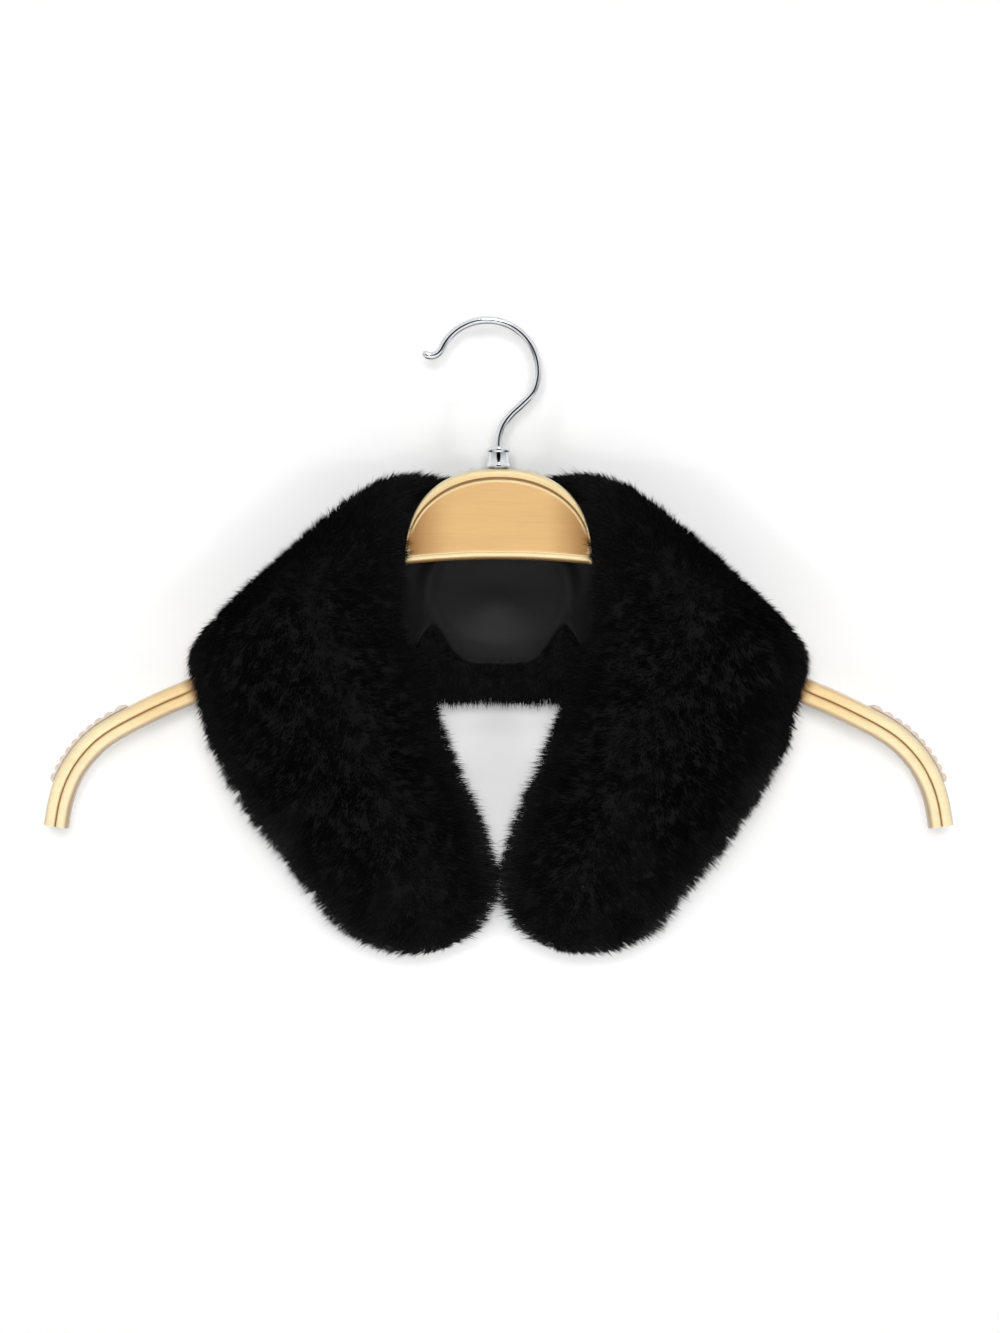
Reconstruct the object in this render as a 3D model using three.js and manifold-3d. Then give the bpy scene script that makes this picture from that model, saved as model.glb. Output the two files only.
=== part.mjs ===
// A black fur collar wrap hung on a coat hanger, in millimetres, +Z up, +Y away from the viewer.
// The origin is the point on the inside of the hook where a rail carries the hanger.
//
// The collar is one curved strip with a rounded end on each side. Its flat cut is a short table of
// sections. The strip lies behind the hanger at the centre back, folds over each arm along a slanting
// line, and hangs down in front. Each flat point is folded over the arm by one function, foldOver,
// so the thickness of the fur and of the lining follows the same fold.
import * as THREE from "three";
import { mergeVertices } from "three/addons/utils/BufferGeometryUtils.js";
import Module from "manifold-3d";

const wasm = await Module();
wasm.setup();

// Gap between two pieces that touch.
const SEAM = 0.3;

// The fold over one arm: its axis runs from beside the neck to the shoulder, and the lining turns round
// it at FOLD_RADIUS.
const FOLD_NECK = { x: 53, z: -102 };
const FOLD_SHOULDER = { x: 138.5, z: -175.5 };
const FOLD_RADIUS = 8.5;

// Thickness of the cloth, from the face that lies against the hanger outwards.
const LINING = 1;
const FUR_DEPTH = 14.2;
// How far the pile reaches past the edge of the skin.
const EDGE_PILE = 8;
// The lining stops short of the skin's edge, and the fur is turned over it there.
const LINING_INSET_NECK = 6;
const LINING_INSET_OUTER = 11;
// Behind the neck the turned-over fur rises farther in two wedges, one on each side of the middle. The row
// is the wedge's middle, and the spread its width in rows.
const FUR_WEDGE = { row: 0.82, spread: 0.26, rise: 14 };
// Above the hanger's head the pile stands taller at the neck edge, down to nothing at the fold.
const NECK_CREST = { height: 2.2, fromRow: 3.2, toRow: 4.2 };
// The strip's middle bows away from the hanger by this much, clear of the fold.
const BOW = 5;
const BOW_REACH = 60;
// Past the skin's edges the pile falls back towards the hanger by no more than this share of the bow.
const MAX_DROOP = 0.6;
// The centre back stands off the hanger's head, and the fronts hang back in towards the hanger's plane.
const BACK_STANDOFF = 3;
const STANDOFF_REACH = 25;
const FRONT_LEAN = 4.5;
const LEAN_REACH = 180;

// The flat cut of the right half, from the centre back to where its rounded end begins. Each row is one
// section across the strip: the skin's neck edge and outer edge in the plane of the back, how far the fur is
// turned in over each edge, and how full the pile is. Rows 3 to 5 run along the fold. Where an edge lies on
// the hanger the turn is small, or the edge is lifted off it.
const CUT = [
  { neckX: 0, neckZ: -82, outerX: 0, outerZ: -178.6, neckTurn: 0.8, outerTurn: 3.6, full: 1 },
  { neckX: 12, neckZ: -82, outerX: 40, outerZ: -179, neckTurn: 0.6, outerTurn: 3.6, full: 1 },
  { neckX: 22, neckZ: -82, outerX: 82, outerZ: -177.6, neckTurn: 0.3, outerTurn: 3.2, full: 1 },
  { neckX: 29.7, neckZ: -82, outerX: 129.4, outerZ: -167.7, neckTurn: 0.2, outerTurn: 0.5, full: 1.08 },
  { neckX: 51.1, neckZ: -82.8, outerX: 144.5, outerZ: -163.1, neckTurn: 0.2, outerTurn: -2.6, full: 1.23 },
  { neckX: 71.9, neckZ: -83.1, outerX: 159.3, outerZ: -158.2, neckTurn: 0.3, outerTurn: 0, full: 1.08 },
  { neckX: 93.2, neckZ: -79.1, outerX: 168, outerZ: -155, neckTurn: 1, outerTurn: 0.6, full: 1 },
  { neckX: 114.4, neckZ: -72.9, outerX: 178, outerZ: -150.4, neckTurn: 1.5, outerTurn: 2, full: 1 },
  { neckX: 133.2, neckZ: -62.8, outerX: 191, outerZ: -142, neckTurn: 2.5, outerTurn: 2.5, full: 1 },
  { neckX: 150, neckZ: -54.2, outerX: 204, outerZ: -132, neckTurn: 3, outerTurn: 2.8, full: 1.02 },
  { neckX: 168, neckZ: -46.4, outerX: 218, outerZ: -119.5, neckTurn: 3, outerTurn: 3, full: 1.05 },
  { neckX: 186, neckZ: -36.7, outerX: 231, outerZ: -106, neckTurn: 3, outerTurn: 3, full: 1.06 },
  { neckX: 204, neckZ: -25, outerX: 241.5, outerZ: -94.6, neckTurn: 3, outerTurn: 3, full: 1.06 },
  { neckX: 221.2, neckZ: -16.4, outerX: 250.2, outerZ: -84, neckTurn: 3, outerTurn: 3, full: 1.05 },
];
const LAST = CUT.length - 1;
// The two seams that join the centre back to the sides lie at this row, and its width of gap in rows.
const SEAM_ROW = 1.5;
const SEAM_GAP_ROWS = 0.018;
// Rows between the sections that are drawn: close together where the strip turns round the fold.
const STEPS = [
  { from: 0, to: 1.5, count: 6 },
  { from: 1.5, to: 3, count: 3 },
  { from: 3, to: 5, count: 12 },
  { from: 5, to: 9, count: 8 },
  { from: 9, to: 13, count: 6 },
];
// The rounded end goes on this far past the last row and drifts this far towards the neck edge, in this many
// sections. The lining rounds off sooner.
const END_LENGTH = 37.4;
const END_DRIFT = 7.2;
const END_STEPS = 7;
const END_TURN_DEGREES = 86;
const LINING_END_STEPS = 4;
const LINING_END_HASTE = 1.6;
const MIN_LINING_SHARE = 0.12;

// The fur's outer side is drawn with this many spans, and its lining with this many.
const FUR_SPANS = 14;
const LINING_SPANS = 8;
// How squarely the pile rounds over: 1 is an ellipse, less is fuller.
const ROUND_ACROSS = 0.62;
const ROUND_DEPTH = 0.72;
// Height of the pile's edge as a share of the bed's, and of a lifted edge as a share of its lift.
const EDGE_HEIGHT = 0.6;
const LIFTED_EDGE = 1.4;

const { degToRad, lerp } = THREE.MathUtils;
const smooth = (value) => THREE.MathUtils.smoothstep(value, 0, 1);

// One column of a table at a fractional row, on a curve through the rows. Before the first row of the cut
// the strip goes on mirrored, so the centre back is smooth.
function column(table, key, row, mirrored = false) {
  const at = (index) => {
    if (index < 0) {
      const value = table[-index][key];
      return mirrored && key.endsWith("X") ? -value : value;
    }
    return table[Math.min(index, table.length - 1)][key];
  };
  const index = Math.min(Math.floor(row), table.length - 2);
  const t = row - index;
  const [a, b, c, d] = [at(index - 1), at(index), at(index + 1), at(index + 2)];
  return b + 0.5 * t * (c - a + t * (2 * a - 5 * b + 4 * c - d + t * (3 * (b - c) + d - a)));
}

const foldRun = new THREE.Vector2(FOLD_SHOULDER.x - FOLD_NECK.x, FOLD_SHOULDER.z - FOLD_NECK.z).normalize();
const foldOut = new THREE.Vector2(-foldRun.y, foldRun.x);
const FOLD_ARC = Math.PI * FOLD_RADIUS;

// Where a point of the flat cut lies once the strip is folded over the arm. raise is its height off the
// face that touches the hanger, and bow how much it bows.
function foldOver(x, z, raise, bow) {
  const flat = new THREE.Vector2(x - FOLD_NECK.x, z - FOLD_NECK.z);
  const along = flat.dot(foldRun);
  const past = flat.dot(foldOut);
  const clear = Math.max(-past, past - FOLD_ARC, 0);
  const radius = FOLD_RADIUS + raise + bow * smooth(clear / BOW_REACH);
  let out;
  let depth;
  if (past < 0) {
    out = past;
    depth = radius + BACK_STANDOFF * smooth(-past / STANDOFF_REACH);
  } else if (past < FOLD_ARC) {
    const turn = past / FOLD_RADIUS;
    out = radius * Math.sin(turn);
    depth = radius * Math.cos(turn);
  } else {
    out = FOLD_ARC - past;
    depth = -radius + FRONT_LEAN * smooth((past - FOLD_ARC) / LEAN_REACH);
  }
  return new THREE.Vector3(
    FOLD_NECK.x + along * foldRun.x + out * foldOut.x,
    depth,
    FOLD_NECK.z + along * foldRun.y + out * foldOut.y,
  );
}

// The section at a row: its middle, the direction across it, half the skin's width there, how far the pile
// reaches, and the table's other columns. Beyond the last row, endTurn rounds the strip's end over.
function section(row, endTurn = 0) {
  const neck = new THREE.Vector2(column(CUT, "neckX", row, true), column(CUT, "neckZ", row, true));
  const outer = new THREE.Vector2(column(CUT, "outerX", row, true), column(CUT, "outerZ", row, true));
  const across = outer.clone().sub(neck);
  const half = across.length() / 2;
  across.normalize();
  const forward = new THREE.Vector2(-across.y, across.x);
  const middle = neck.add(outer).multiplyScalar(0.5);
  middle.addScaledVector(forward, END_LENGTH * Math.sin(endTurn));
  middle.addScaledVector(across, -END_DRIFT * Math.sin(endTurn));
  const shrink = Math.cos(endTurn);
  const wedge = Math.exp(-(((row - FUR_WEDGE.row) / FUR_WEDGE.spread) ** 2));
  const crest = 1 - smooth((row - NECK_CREST.fromRow) / (NECK_CREST.toRow - NECK_CREST.fromRow));
  return {
    middle,
    across,
    half: half * shrink,
    reach: (half + EDGE_PILE) * shrink,
    neckReach: (half + EDGE_PILE + NECK_CREST.height * crest) * shrink,
    liningInset: LINING_INSET_OUTER + FUR_WEDGE.rise * wedge,
    liningShare: Math.cos(endTurn * LINING_END_HASTE) / shrink,
    bow: BOW * shrink,
    neckTurn: column(CUT, "neckTurn", row) * shrink,
    outerTurn: column(CUT, "outerTurn", row) * shrink,
    full: column(CUT, "full", row) * Math.sqrt(shrink),
  };
}

// The sections from one row to another, and then so many round the end.
function sectionsBetween(from, to, endSteps = 0) {
  const rows = new Set([from, to]);
  STEPS.forEach((step) => {
    for (let i = 0; i <= step.count; i++) {
      const row = step.from + ((step.to - step.from) * i) / step.count;
      if (row > from + 0.05 && row < to - 0.05) rows.add(row);
    }
  });
  const sections = [...rows].sort((a, b) => a - b).map((row) => section(row));
  for (let i = 1; i <= endSteps; i++) {
    sections.push(section(LAST, degToRad((END_TURN_DEGREES * i) / END_STEPS)));
  }
  return sections;
}

// A ring of a section. Each entry of profile is a distance across from the middle and a height off the face
// that touches the hanger.
function ringOf(cross, profile, side) {
  return profile.map(([a, raise]) => {
    const spread = a / cross.half;
    const point = foldOver(
      cross.middle.x + a * cross.across.x,
      cross.middle.y + a * cross.across.y,
      raise,
      cross.bow * Math.max(1 - spread * spread, -MAX_DROOP),
    );
    point.x *= side;
    return point;
  });
}

// Where the lining lies across a section, from its outer edge to its neck edge.
function liningSpread(cross) {
  const share = Math.max(cross.liningShare, MIN_LINING_SHARE);
  const outer = (cross.half - cross.liningInset * share) * share;
  const neck = -(cross.half - LINING_INSET_NECK * share) * share;
  const spread = [];
  for (let i = 0; i <= LINING_SPANS; i++) spread.push(outer + ((neck - outer) * i) / LINING_SPANS);
  return spread;
}

// The fur: a full pile that rounds over both edges, turned in over the lining's edges. From the pile's edge
// inwards, the turned fur dips to its full turn, and comes back to the bed that the lining lies in.
function furProfile(cross) {
  const { reach, neckReach } = cross;
  const bed = LINING + SEAM;
  const edge = (turn) => Math.max(bed * EDGE_HEIGHT, -LIFTED_EDGE * turn);
  const crown = FUR_DEPTH * cross.full + bed;
  const profile = [];
  for (let i = 0; i <= FUR_SPANS; i++) {
    const angle = (Math.PI * i) / FUR_SPANS;
    const cos = Math.cos(angle);
    const low = edge(cos > 0 ? cross.neckTurn : cross.outerTurn);
    profile.push([
      (cos > 0 ? -neckReach : reach) * Math.abs(cos) ** ROUND_ACROSS,
      low + (crown - low) * Math.abs(Math.sin(angle)) ** ROUND_DEPTH,
    ]);
  }
  const spread = liningSpread(cross);
  const turnedIn = (sign, sideReach, turn, liningEdge) => {
    const span = sideReach - Math.abs(liningEdge) - SEAM;
    const dips = [
      [0.22, lerp(edge(turn), -turn, 0.75)],
      [0.55, -turn],
      [0.88, lerp(-turn, bed, 0.4)],
      [1, bed],
    ];
    return dips.map(([inward, raise]) => [sign * (sideReach - inward * span), raise]);
  };
  const outer = turnedIn(1, reach, cross.outerTurn, spread[0]);
  const neck = turnedIn(-1, neckReach, cross.neckTurn, spread[LINING_SPANS]).reverse();
  return [...profile, ...outer, ...spread.map((a) => [a, bed]), ...neck];
}

// The lining: a thin wall with its hanger side at height 0.
function liningProfile(cross) {
  const spread = liningSpread(cross);
  const inside = spread.slice().reverse();
  return [...spread.map((a) => [a, LINING]), ...inside.map((a) => [a, 0])];
}

// A closed body through rings of equal count, with a flat cap at each end. crossed says where the four-sided
// faces are split along their other diagonal.
function loft(rings, crossed = () => false) {
  const count = rings[0].length;
  const positions = [];
  const indices = [];
  rings.forEach((ring) => ring.forEach((p) => positions.push(p.x, p.y, p.z)));
  for (let k = 0; k + 1 < rings.length; k++) {
    for (let i = 0; i < count; i++) {
      const j = (i + 1) % count;
      const [a, b, c, d] = [k * count + i, k * count + j, (k + 1) * count + i, (k + 1) * count + j];
      if (crossed(k, i)) indices.push(a, b, c, b, d, c);
      else indices.push(a, b, d, a, d, c);
    }
  }
  const cap = (k, against) => {
    const contour = flatten(rings[k]);
    THREE.ShapeUtils.triangulateShape(contour, []).forEach(([a, b, c]) => {
      const clockwise = THREE.ShapeUtils.isClockWise([contour[a], contour[b], contour[c]]);
      const order = clockwise === against ? [a, b, c] : [a, c, b];
      indices.push(...order.map((index) => k * count + index));
    });
  };
  cap(0, true);
  cap(rings.length - 1, false);
  const geometry = new THREE.BufferGeometry();
  geometry.setAttribute("position", new THREE.Float32BufferAttribute(positions, 3));
  geometry.setIndex(indices);
  return outward(geometry);
}

// A ring's points in two coordinates of its own mean plane, counter-clockwise, for triangulating a cap.
function flatten(ring) {
  const centre = ring.reduce((sum, p) => sum.add(p), new THREE.Vector3()).divideScalar(ring.length);
  const normal = new THREE.Vector3();
  ring.forEach((p, i) => {
    const next = ring[(i + 1) % ring.length];
    normal.add(p.clone().sub(centre).cross(next.clone().sub(centre)));
  });
  normal.normalize();
  const u = ring[0].clone().sub(centre);
  u.addScaledVector(normal, -u.dot(normal)).normalize();
  const v = normal.clone().cross(u);
  return ring.map((p) => {
    const offset = p.clone().sub(centre);
    return new THREE.Vector2(offset.dot(u), offset.dot(v));
  });
}

// Turns a geometry inside out if its faces point inwards.
function outward(geometry) {
  const p = geometry.getAttribute("position");
  const index = geometry.index.array;
  const [a, b, c] = [new THREE.Vector3(), new THREE.Vector3(), new THREE.Vector3()];
  let volume = 0;
  for (let i = 0; i < index.length; i += 3) {
    a.fromBufferAttribute(p, index[i]);
    b.fromBufferAttribute(p, index[i + 1]);
    c.fromBufferAttribute(p, index[i + 2]);
    volume += a.dot(b.cross(c));
  }
  if (volume < 0) geometry.setIndex(Array.from(index).reverse());
  return geometry;
}

// A stretch of the strip on both sides of the centre back. The two halves' faces are mirrored.
function acrossBack(sections, profile, crossed) {
  const left = sections.slice(1).reverse().map((cross) => ringOf(cross, profile(cross), -1));
  const right = sections.map((cross) => ringOf(cross, profile(cross), 1));
  return loft([...left, ...right], (k, i) => (k < left.length) !== crossed(i));
}

// Faces on the bed and on the lining are split along the fold, like those on the pile.
const onBed = (i) => i > FUR_SPANS;
const onLiningTop = (i) => i <= LINING_SPANS;

function furBack() {
  return acrossBack(sectionsBetween(0, SEAM_ROW), furProfile, onBed);
}

function furSide(side) {
  const sections = sectionsBetween(SEAM_ROW + SEAM_GAP_ROWS, LAST, END_STEPS);
  return loft(
    sections.map((cross) => ringOf(cross, furProfile(cross), side)),
    (k, i) => onBed(i),
  );
}

function liningStrip() {
  return acrossBack(sectionsBetween(0, LAST, LINING_END_STEPS), liningProfile, onLiningTop);
}

// The hanger's arm, from the head to its tip: middle line, half its height, and the tilt of each section.
const ARM_HALF_DEPTH = 6.8;
const ARM = [
  { x: 46.1, z: -107.6, half: 6.2, tilt: 0 },
  { x: 55, z: -114.8, half: 6.4, tilt: 30 },
  { x: 66, z: -125.2, half: 6.3, tilt: 38 },
  { x: 80, z: -135.9, half: 6.2, tilt: 36 },
  { x: 100, z: -149.4, half: 6.2, tilt: 33 },
  { x: 120, z: -161.3, half: 6.2, tilt: 31 },
  { x: 138, z: -172.3, half: 6.2, tilt: 30 },
  { x: 151, z: -179.8, half: 6.2, tilt: 27 },
  { x: 163, z: -185, half: 6.2, tilt: 25 },
  { x: 174.4, z: -190.4, half: 6.2, tilt: 26 },
  { x: 187, z: -197, half: 6.2, tilt: 31 },
  { x: 196, z: -203, half: 6.2, tilt: 39 },
  { x: 203, z: -209.8, half: 6.2, tilt: 49 },
  { x: 208.6, z: -217.4, half: 6.1, tilt: 58 },
  { x: 212.8, z: -226, half: 6.1, tilt: 66 },
  { x: 215.6, z: -235.4, half: 6, tilt: 74 },
  { x: 217.4, z: -246.3, half: 6, tilt: 81 },
];
const ARM_STEPS_PER_ROW = 1.5;
// One quarter of the arm's section, as shares of its half height and half depth: a flat on top, a round
// bead on the face, and half of the groove that runs along the middle of both faces.
const ARM_QUARTER = [
  { height: 1, depth: 0.38 },
  { height: 0.92, depth: 0.7 },
  { height: 0.55, depth: 1 },
  { height: 0.2, depth: 0.98 },
  { height: 0, depth: 0.8 },
];

function armFrame(row) {
  const tilt = degToRad(column(ARM, "tilt", row));
  return {
    centre: new THREE.Vector3(column(ARM, "x", row), 0, column(ARM, "z", row)),
    up: new THREE.Vector3(Math.sin(tilt), 0, Math.cos(tilt)),
    half: column(ARM, "half", row),
  };
}

function armRing(row, side) {
  const { centre, up, half } = armFrame(row);
  const lower = ARM_QUARTER.slice(0, -1).reverse();
  const front = [...ARM_QUARTER, ...lower.map(({ height, depth }) => ({ height: -height, depth }))];
  const back = front.slice().reverse();
  return [...front, ...back].map(({ height, depth }, i) => {
    const point = centre.clone().addScaledVector(up, height * half);
    point.y = (i < front.length ? -depth : depth) * ARM_HALF_DEPTH;
    point.x *= side;
    return point;
  });
}

function hangerArm(side) {
  const steps = Math.round((ARM.length - 1) * ARM_STEPS_PER_ROW);
  const rings = [];
  for (let i = 0; i <= steps; i++) rings.push(armRing(((ARM.length - 1) * i) / steps, side));
  return loft(rings);
}

// The rubber strip on the shoulder end of an arm, between two rows of the arm's table, with its row of ribs.
const GRIP = { fromRow: 9.4, toRow: 14.1, base: 0.7, bevel: 0.2, halfWidth: 2.6 };
const RIB = { count: 10, height: 1.5, steps: 4 };

function gripStrip(side) {
  const steps = RIB.count * RIB.steps;
  const rings = [];
  for (let i = 0; i <= steps; i++) {
    const { centre, up, half } = armFrame(lerp(GRIP.fromRow, GRIP.toRow, i / steps));
    const foot = half + SEAM;
    const top = foot + GRIP.base + RIB.height * Math.sin((Math.PI * (i % RIB.steps)) / RIB.steps);
    const shape = [
      [foot, -1],
      [top - GRIP.bevel, -1],
      [top, -0.5],
      [top, 0.5],
      [top - GRIP.bevel, 1],
      [foot, 1],
    ];
    rings.push(
      shape.map(([a, b]) => {
        const point = centre.clone().addScaledVector(up, a);
        point.y = b * GRIP.halfWidth;
        point.x *= side;
        return point;
      }),
    );
  }
  return loft(rings);
}

// The half-round head: a dome with a rim, a groove inside the rim, a plain face and a lip along its bottom.
const HEAD = { halfWidth: 45.8, topZ: -70.6, cornerZ: -116.8, bottomZ: -114.3 };
// How square its shoulders are: 2 is an ellipse.
const HEAD_SQUARENESS = 2.42;
const HEAD_ARC_POINTS = 30;
const HEAD_BOTTOM_POINTS = 12;
// Depth of the face by distance in from the outline: on the dome's rim, whose groove runs out towards the
// sides, and on the bottom lip.
const RIM = [
  { inset: 0, sideInset: 0, depth: 3 },
  { inset: 0.7, sideInset: 0.4, depth: 5.4 },
  { inset: 2.4, sideInset: 0.8, depth: 7.2 },
  { inset: 4.3, sideInset: 1.3, depth: 6.6 },
  { inset: 4.9, sideInset: 1.7, depth: 5.6 },
  { inset: 5.5, sideInset: 2.2, depth: 6.4 },
  { inset: 8, sideInset: 4.5, depth: 6.6 },
];
const LIP = [
  { inset: 0, depth: 3 },
  { inset: 0.4, depth: 6 },
  { inset: 1.4, depth: 7.2 },
  { inset: 2.4, depth: 7 },
  { inset: 2.9, depth: 6.3 },
  { inset: 3.6, depth: 6.4 },
  { inset: 6, depth: 6.6 },
];

// The head's outline on one layer of its faces, counter-clockwise from the right corner.
function headLayer(rim, lip, sign) {
  const halfWidth = HEAD.halfWidth - rim.sideInset;
  const cornerZ = HEAD.cornerZ + lip.inset;
  const height = HEAD.topZ - rim.inset - cornerZ;
  const power = 2 / HEAD_SQUARENESS;
  const points = [];
  for (let i = 0; i <= HEAD_ARC_POINTS; i++) {
    const angle = (Math.PI * i) / HEAD_ARC_POINTS;
    const x = halfWidth * Math.sign(Math.cos(angle)) * Math.abs(Math.cos(angle)) ** power;
    const z = cornerZ + height * Math.sin(angle) ** power;
    points.push(new THREE.Vector3(x, sign * rim.depth, z));
  }
  for (let i = 1; i < HEAD_BOTTOM_POINTS; i++) {
    const share = -1 + (2 * i) / HEAD_BOTTOM_POINTS;
    const rise = (HEAD.bottomZ - HEAD.cornerZ) * (1 - share * share);
    points.push(new THREE.Vector3(share * halfWidth, sign * lip.depth, cornerZ + rise));
  }
  return points;
}

function hangerHead() {
  const front = RIM.map((rim, k) => headLayer(rim, LIP[k], -1));
  const back = RIM.map((rim, k) => headLayer(rim, LIP[k], 1));
  return withoutBore(loft([...front.reverse(), ...back]));
}

// The hook: a round wire bent to a bow with a turned-out tip, and a shank that runs down into the head.
const WIRE_RADIUS = 1.95;
const BOW_CENTRE = { x: -5.6, z: -22.46 };
const BOW_RADIUS = 25.1;
const BOW_FROM = -8;
const BOW_TO = 156;
const TIP = [
  { x: -37.2, z: -12.6 },
  { x: -35.2, z: -14.6 },
  { x: -32.6, z: -14.9 },
  { x: -30.4, z: -14.1 },
];
const SHANK_END = -92;
const SHANK = [
  { x: 17.2, z: -32.4 },
  { x: 11.6, z: -38.6 },
  { x: 6.2, z: -43.6 },
  { x: 2.4, z: -48.6 },
  { x: 0.4, z: -54.4 },
  { x: 0, z: -61 },
  { x: 0, z: -76 },
  { x: 0, z: SHANK_END },
];
const WIRE_SIDES = 10;
const WIRE_STEPS = 64;
const BOW_POINTS = 12;

function hookWire() {
  const bow = [];
  for (let i = 0; i <= BOW_POINTS; i++) {
    const angle = degToRad(lerp(BOW_TO, BOW_FROM, i / BOW_POINTS));
    const x = BOW_CENTRE.x + BOW_RADIUS * Math.cos(angle);
    const z = BOW_CENTRE.z + BOW_RADIUS * Math.sin(angle);
    bow.push({ x, z });
  }
  const path = [...TIP, ...bow, ...SHANK].map(({ x, z }) => new THREE.Vector3(x, 0, z));
  const curve = new THREE.CatmullRomCurve3(path, false, "centripetal");
  const circle = new THREE.Shape();
  for (let i = 0; i < WIRE_SIDES; i++) {
    const angle = (2 * Math.PI * i) / WIRE_SIDES;
    const point = [WIRE_RADIUS * Math.cos(angle), WIRE_RADIUS * Math.sin(angle)];
    if (i) circle.lineTo(...point);
    else circle.moveTo(...point);
  }
  return new THREE.ExtrudeGeometry(circle, { steps: WIRE_STEPS, extrudePath: curve, bevelEnabled: false });
}

// The metal collar round the shank, on top of the head.
const FERRULE = { bottom: -70.2, top: -59.6, radius: 5.9, neckRadius: 4.6, bore: WIRE_RADIUS + SEAM };
const FERRULE_SIDES = 24;

function ferrule() {
  const { bottom, top, radius, neckRadius, bore } = FERRULE;
  const profile = [
    [bore, bottom],
    [radius, bottom],
    [radius, bottom + 1.6],
    [radius - 0.7, bottom + 2.2],
    [radius - 0.7, top - 2.6],
    [radius - 0.3, top - 2],
    [radius - 0.3, top - 0.8],
    [neckRadius, top],
    [bore, top],
    [bore, bottom],
  ];
  const lathe = new THREE.LatheGeometry(
    profile.map(([r, z]) => new THREE.Vector2(r, z)),
    FERRULE_SIDES,
  );
  return lathe.rotateX(Math.PI / 2);
}

function solidOf(geometry) {
  const bare = geometry.clone();
  bare.deleteAttribute("normal");
  bare.deleteAttribute("uv");
  const merged = mergeVertices(bare, 1e-4);
  return new wasm.Manifold(
    new wasm.Mesh({
      numProp: 3,
      vertProperties: merged.attributes.position.array,
      triVerts: new Uint32Array(merged.index.array),
    }),
  );
}

// The head with the blind hole that holds the hook's shank.
function withoutBore(geometry) {
  const depth = HEAD.topZ - SHANK_END + 2 * SEAM + 1;
  const drill = new THREE.CylinderGeometry(WIRE_RADIUS + SEAM, WIRE_RADIUS + SEAM, depth, 16);
  drill.rotateX(Math.PI / 2);
  drill.translate(0, 0, SHANK_END - SEAM + depth / 2);
  const mesh = solidOf(geometry).subtract(solidOf(drill)).getMesh();
  const cut = new THREE.BufferGeometry();
  const points = new Float32Array(mesh.numVert * 3);
  for (let i = 0; i < mesh.numVert; i++) {
    points.set(mesh.vertProperties.subarray(i * mesh.numProp, i * mesh.numProp + 3), i * 3);
  }
  cut.setAttribute("position", new THREE.BufferAttribute(points, 3));
  cut.setIndex(new THREE.BufferAttribute(mesh.triVerts, 1));
  return cut;
}

function finish(color, roughness, metalness = 0) {
  return new THREE.MeshStandardMaterial({ color, roughness, metalness });
}
const fur = finish(0x0b0b0c, 0.8);
const satin = finish(0x26262a, 0.4);
const gold = finish(0xe3bd7c, 0.35);
const chrome = finish(0xd8dade, 0.12, 1);
const rubber = finish(0xc9bcae, 0.6);

const collar = new THREE.Group();
const hanger = new THREE.Group();

function piece(group, name, geometry, material) {
  const mesh = new THREE.Mesh(geometry, material);
  mesh.name = name;
  group.add(mesh);
}

piece(collar, "fur_back", furBack(), fur);
piece(collar, "lining", liningStrip(), satin);
piece(hanger, "hanger_head", hangerHead(), gold);
piece(hanger, "hook", hookWire(), chrome);
piece(hanger, "ferrule", ferrule(), chrome);
[
  ["left", -1],
  ["right", 1],
].forEach(([name, side]) => {
  piece(collar, `fur_${name}`, furSide(side), fur);
  piece(hanger, `arm_${name}`, hangerArm(side), gold);
  piece(hanger, `grip_${name}`, gripStrip(side), rubber);
});

const part = new THREE.Group();
part.add(collar, hanger);

export default part;
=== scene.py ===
# Dresses the hanging fur collar: plush pile, satin lining, golden wooden hanger and chrome hook.
# Sizes are in millimetres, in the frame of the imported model, until a mesh is made.
import math

import bpy
import numpy as np
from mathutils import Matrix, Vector


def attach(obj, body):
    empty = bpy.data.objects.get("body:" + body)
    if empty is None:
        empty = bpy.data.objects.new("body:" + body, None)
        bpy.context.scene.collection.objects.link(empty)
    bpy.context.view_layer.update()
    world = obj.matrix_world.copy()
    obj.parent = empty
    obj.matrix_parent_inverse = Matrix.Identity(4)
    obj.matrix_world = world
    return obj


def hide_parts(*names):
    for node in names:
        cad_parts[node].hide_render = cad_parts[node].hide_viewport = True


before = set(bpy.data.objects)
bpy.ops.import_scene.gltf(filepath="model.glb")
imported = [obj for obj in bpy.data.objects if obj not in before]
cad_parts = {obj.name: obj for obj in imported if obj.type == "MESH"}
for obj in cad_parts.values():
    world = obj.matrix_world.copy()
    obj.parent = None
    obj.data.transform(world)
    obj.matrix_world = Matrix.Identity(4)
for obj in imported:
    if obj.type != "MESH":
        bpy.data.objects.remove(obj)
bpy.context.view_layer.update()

MM = 0.001
SEAM = 0.3
SEED = 20260


# Meshes

def plain_mesh(name, points, faces, material, replaced=()):
    """A piece from points in millimetres and faces of any size, riding on the one body."""
    mesh = bpy.data.meshes.new(name)
    mesh.from_pydata((np.asarray(points, float) * MM).tolist(), [], faces)
    mesh.validate()
    return dressed(name, mesh, material, replaced)


def placed(name, data):
    """A new object in the scene, with this data."""
    made = bpy.data.objects.new(name, data)
    bpy.context.scene.collection.objects.link(made)
    return made


def dressed(name, mesh, material, replaced=()):
    """Puts a mesh in the scene as a piece, with its finish and the model's nodes that it stands for."""
    mesh.polygons.foreach_set("use_smooth", [True] * len(mesh.polygons))
    mesh.materials.append(material)
    piece = placed(name, mesh)
    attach(piece, "root")
    if replaced:
        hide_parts(*replaced)
    return piece


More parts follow.
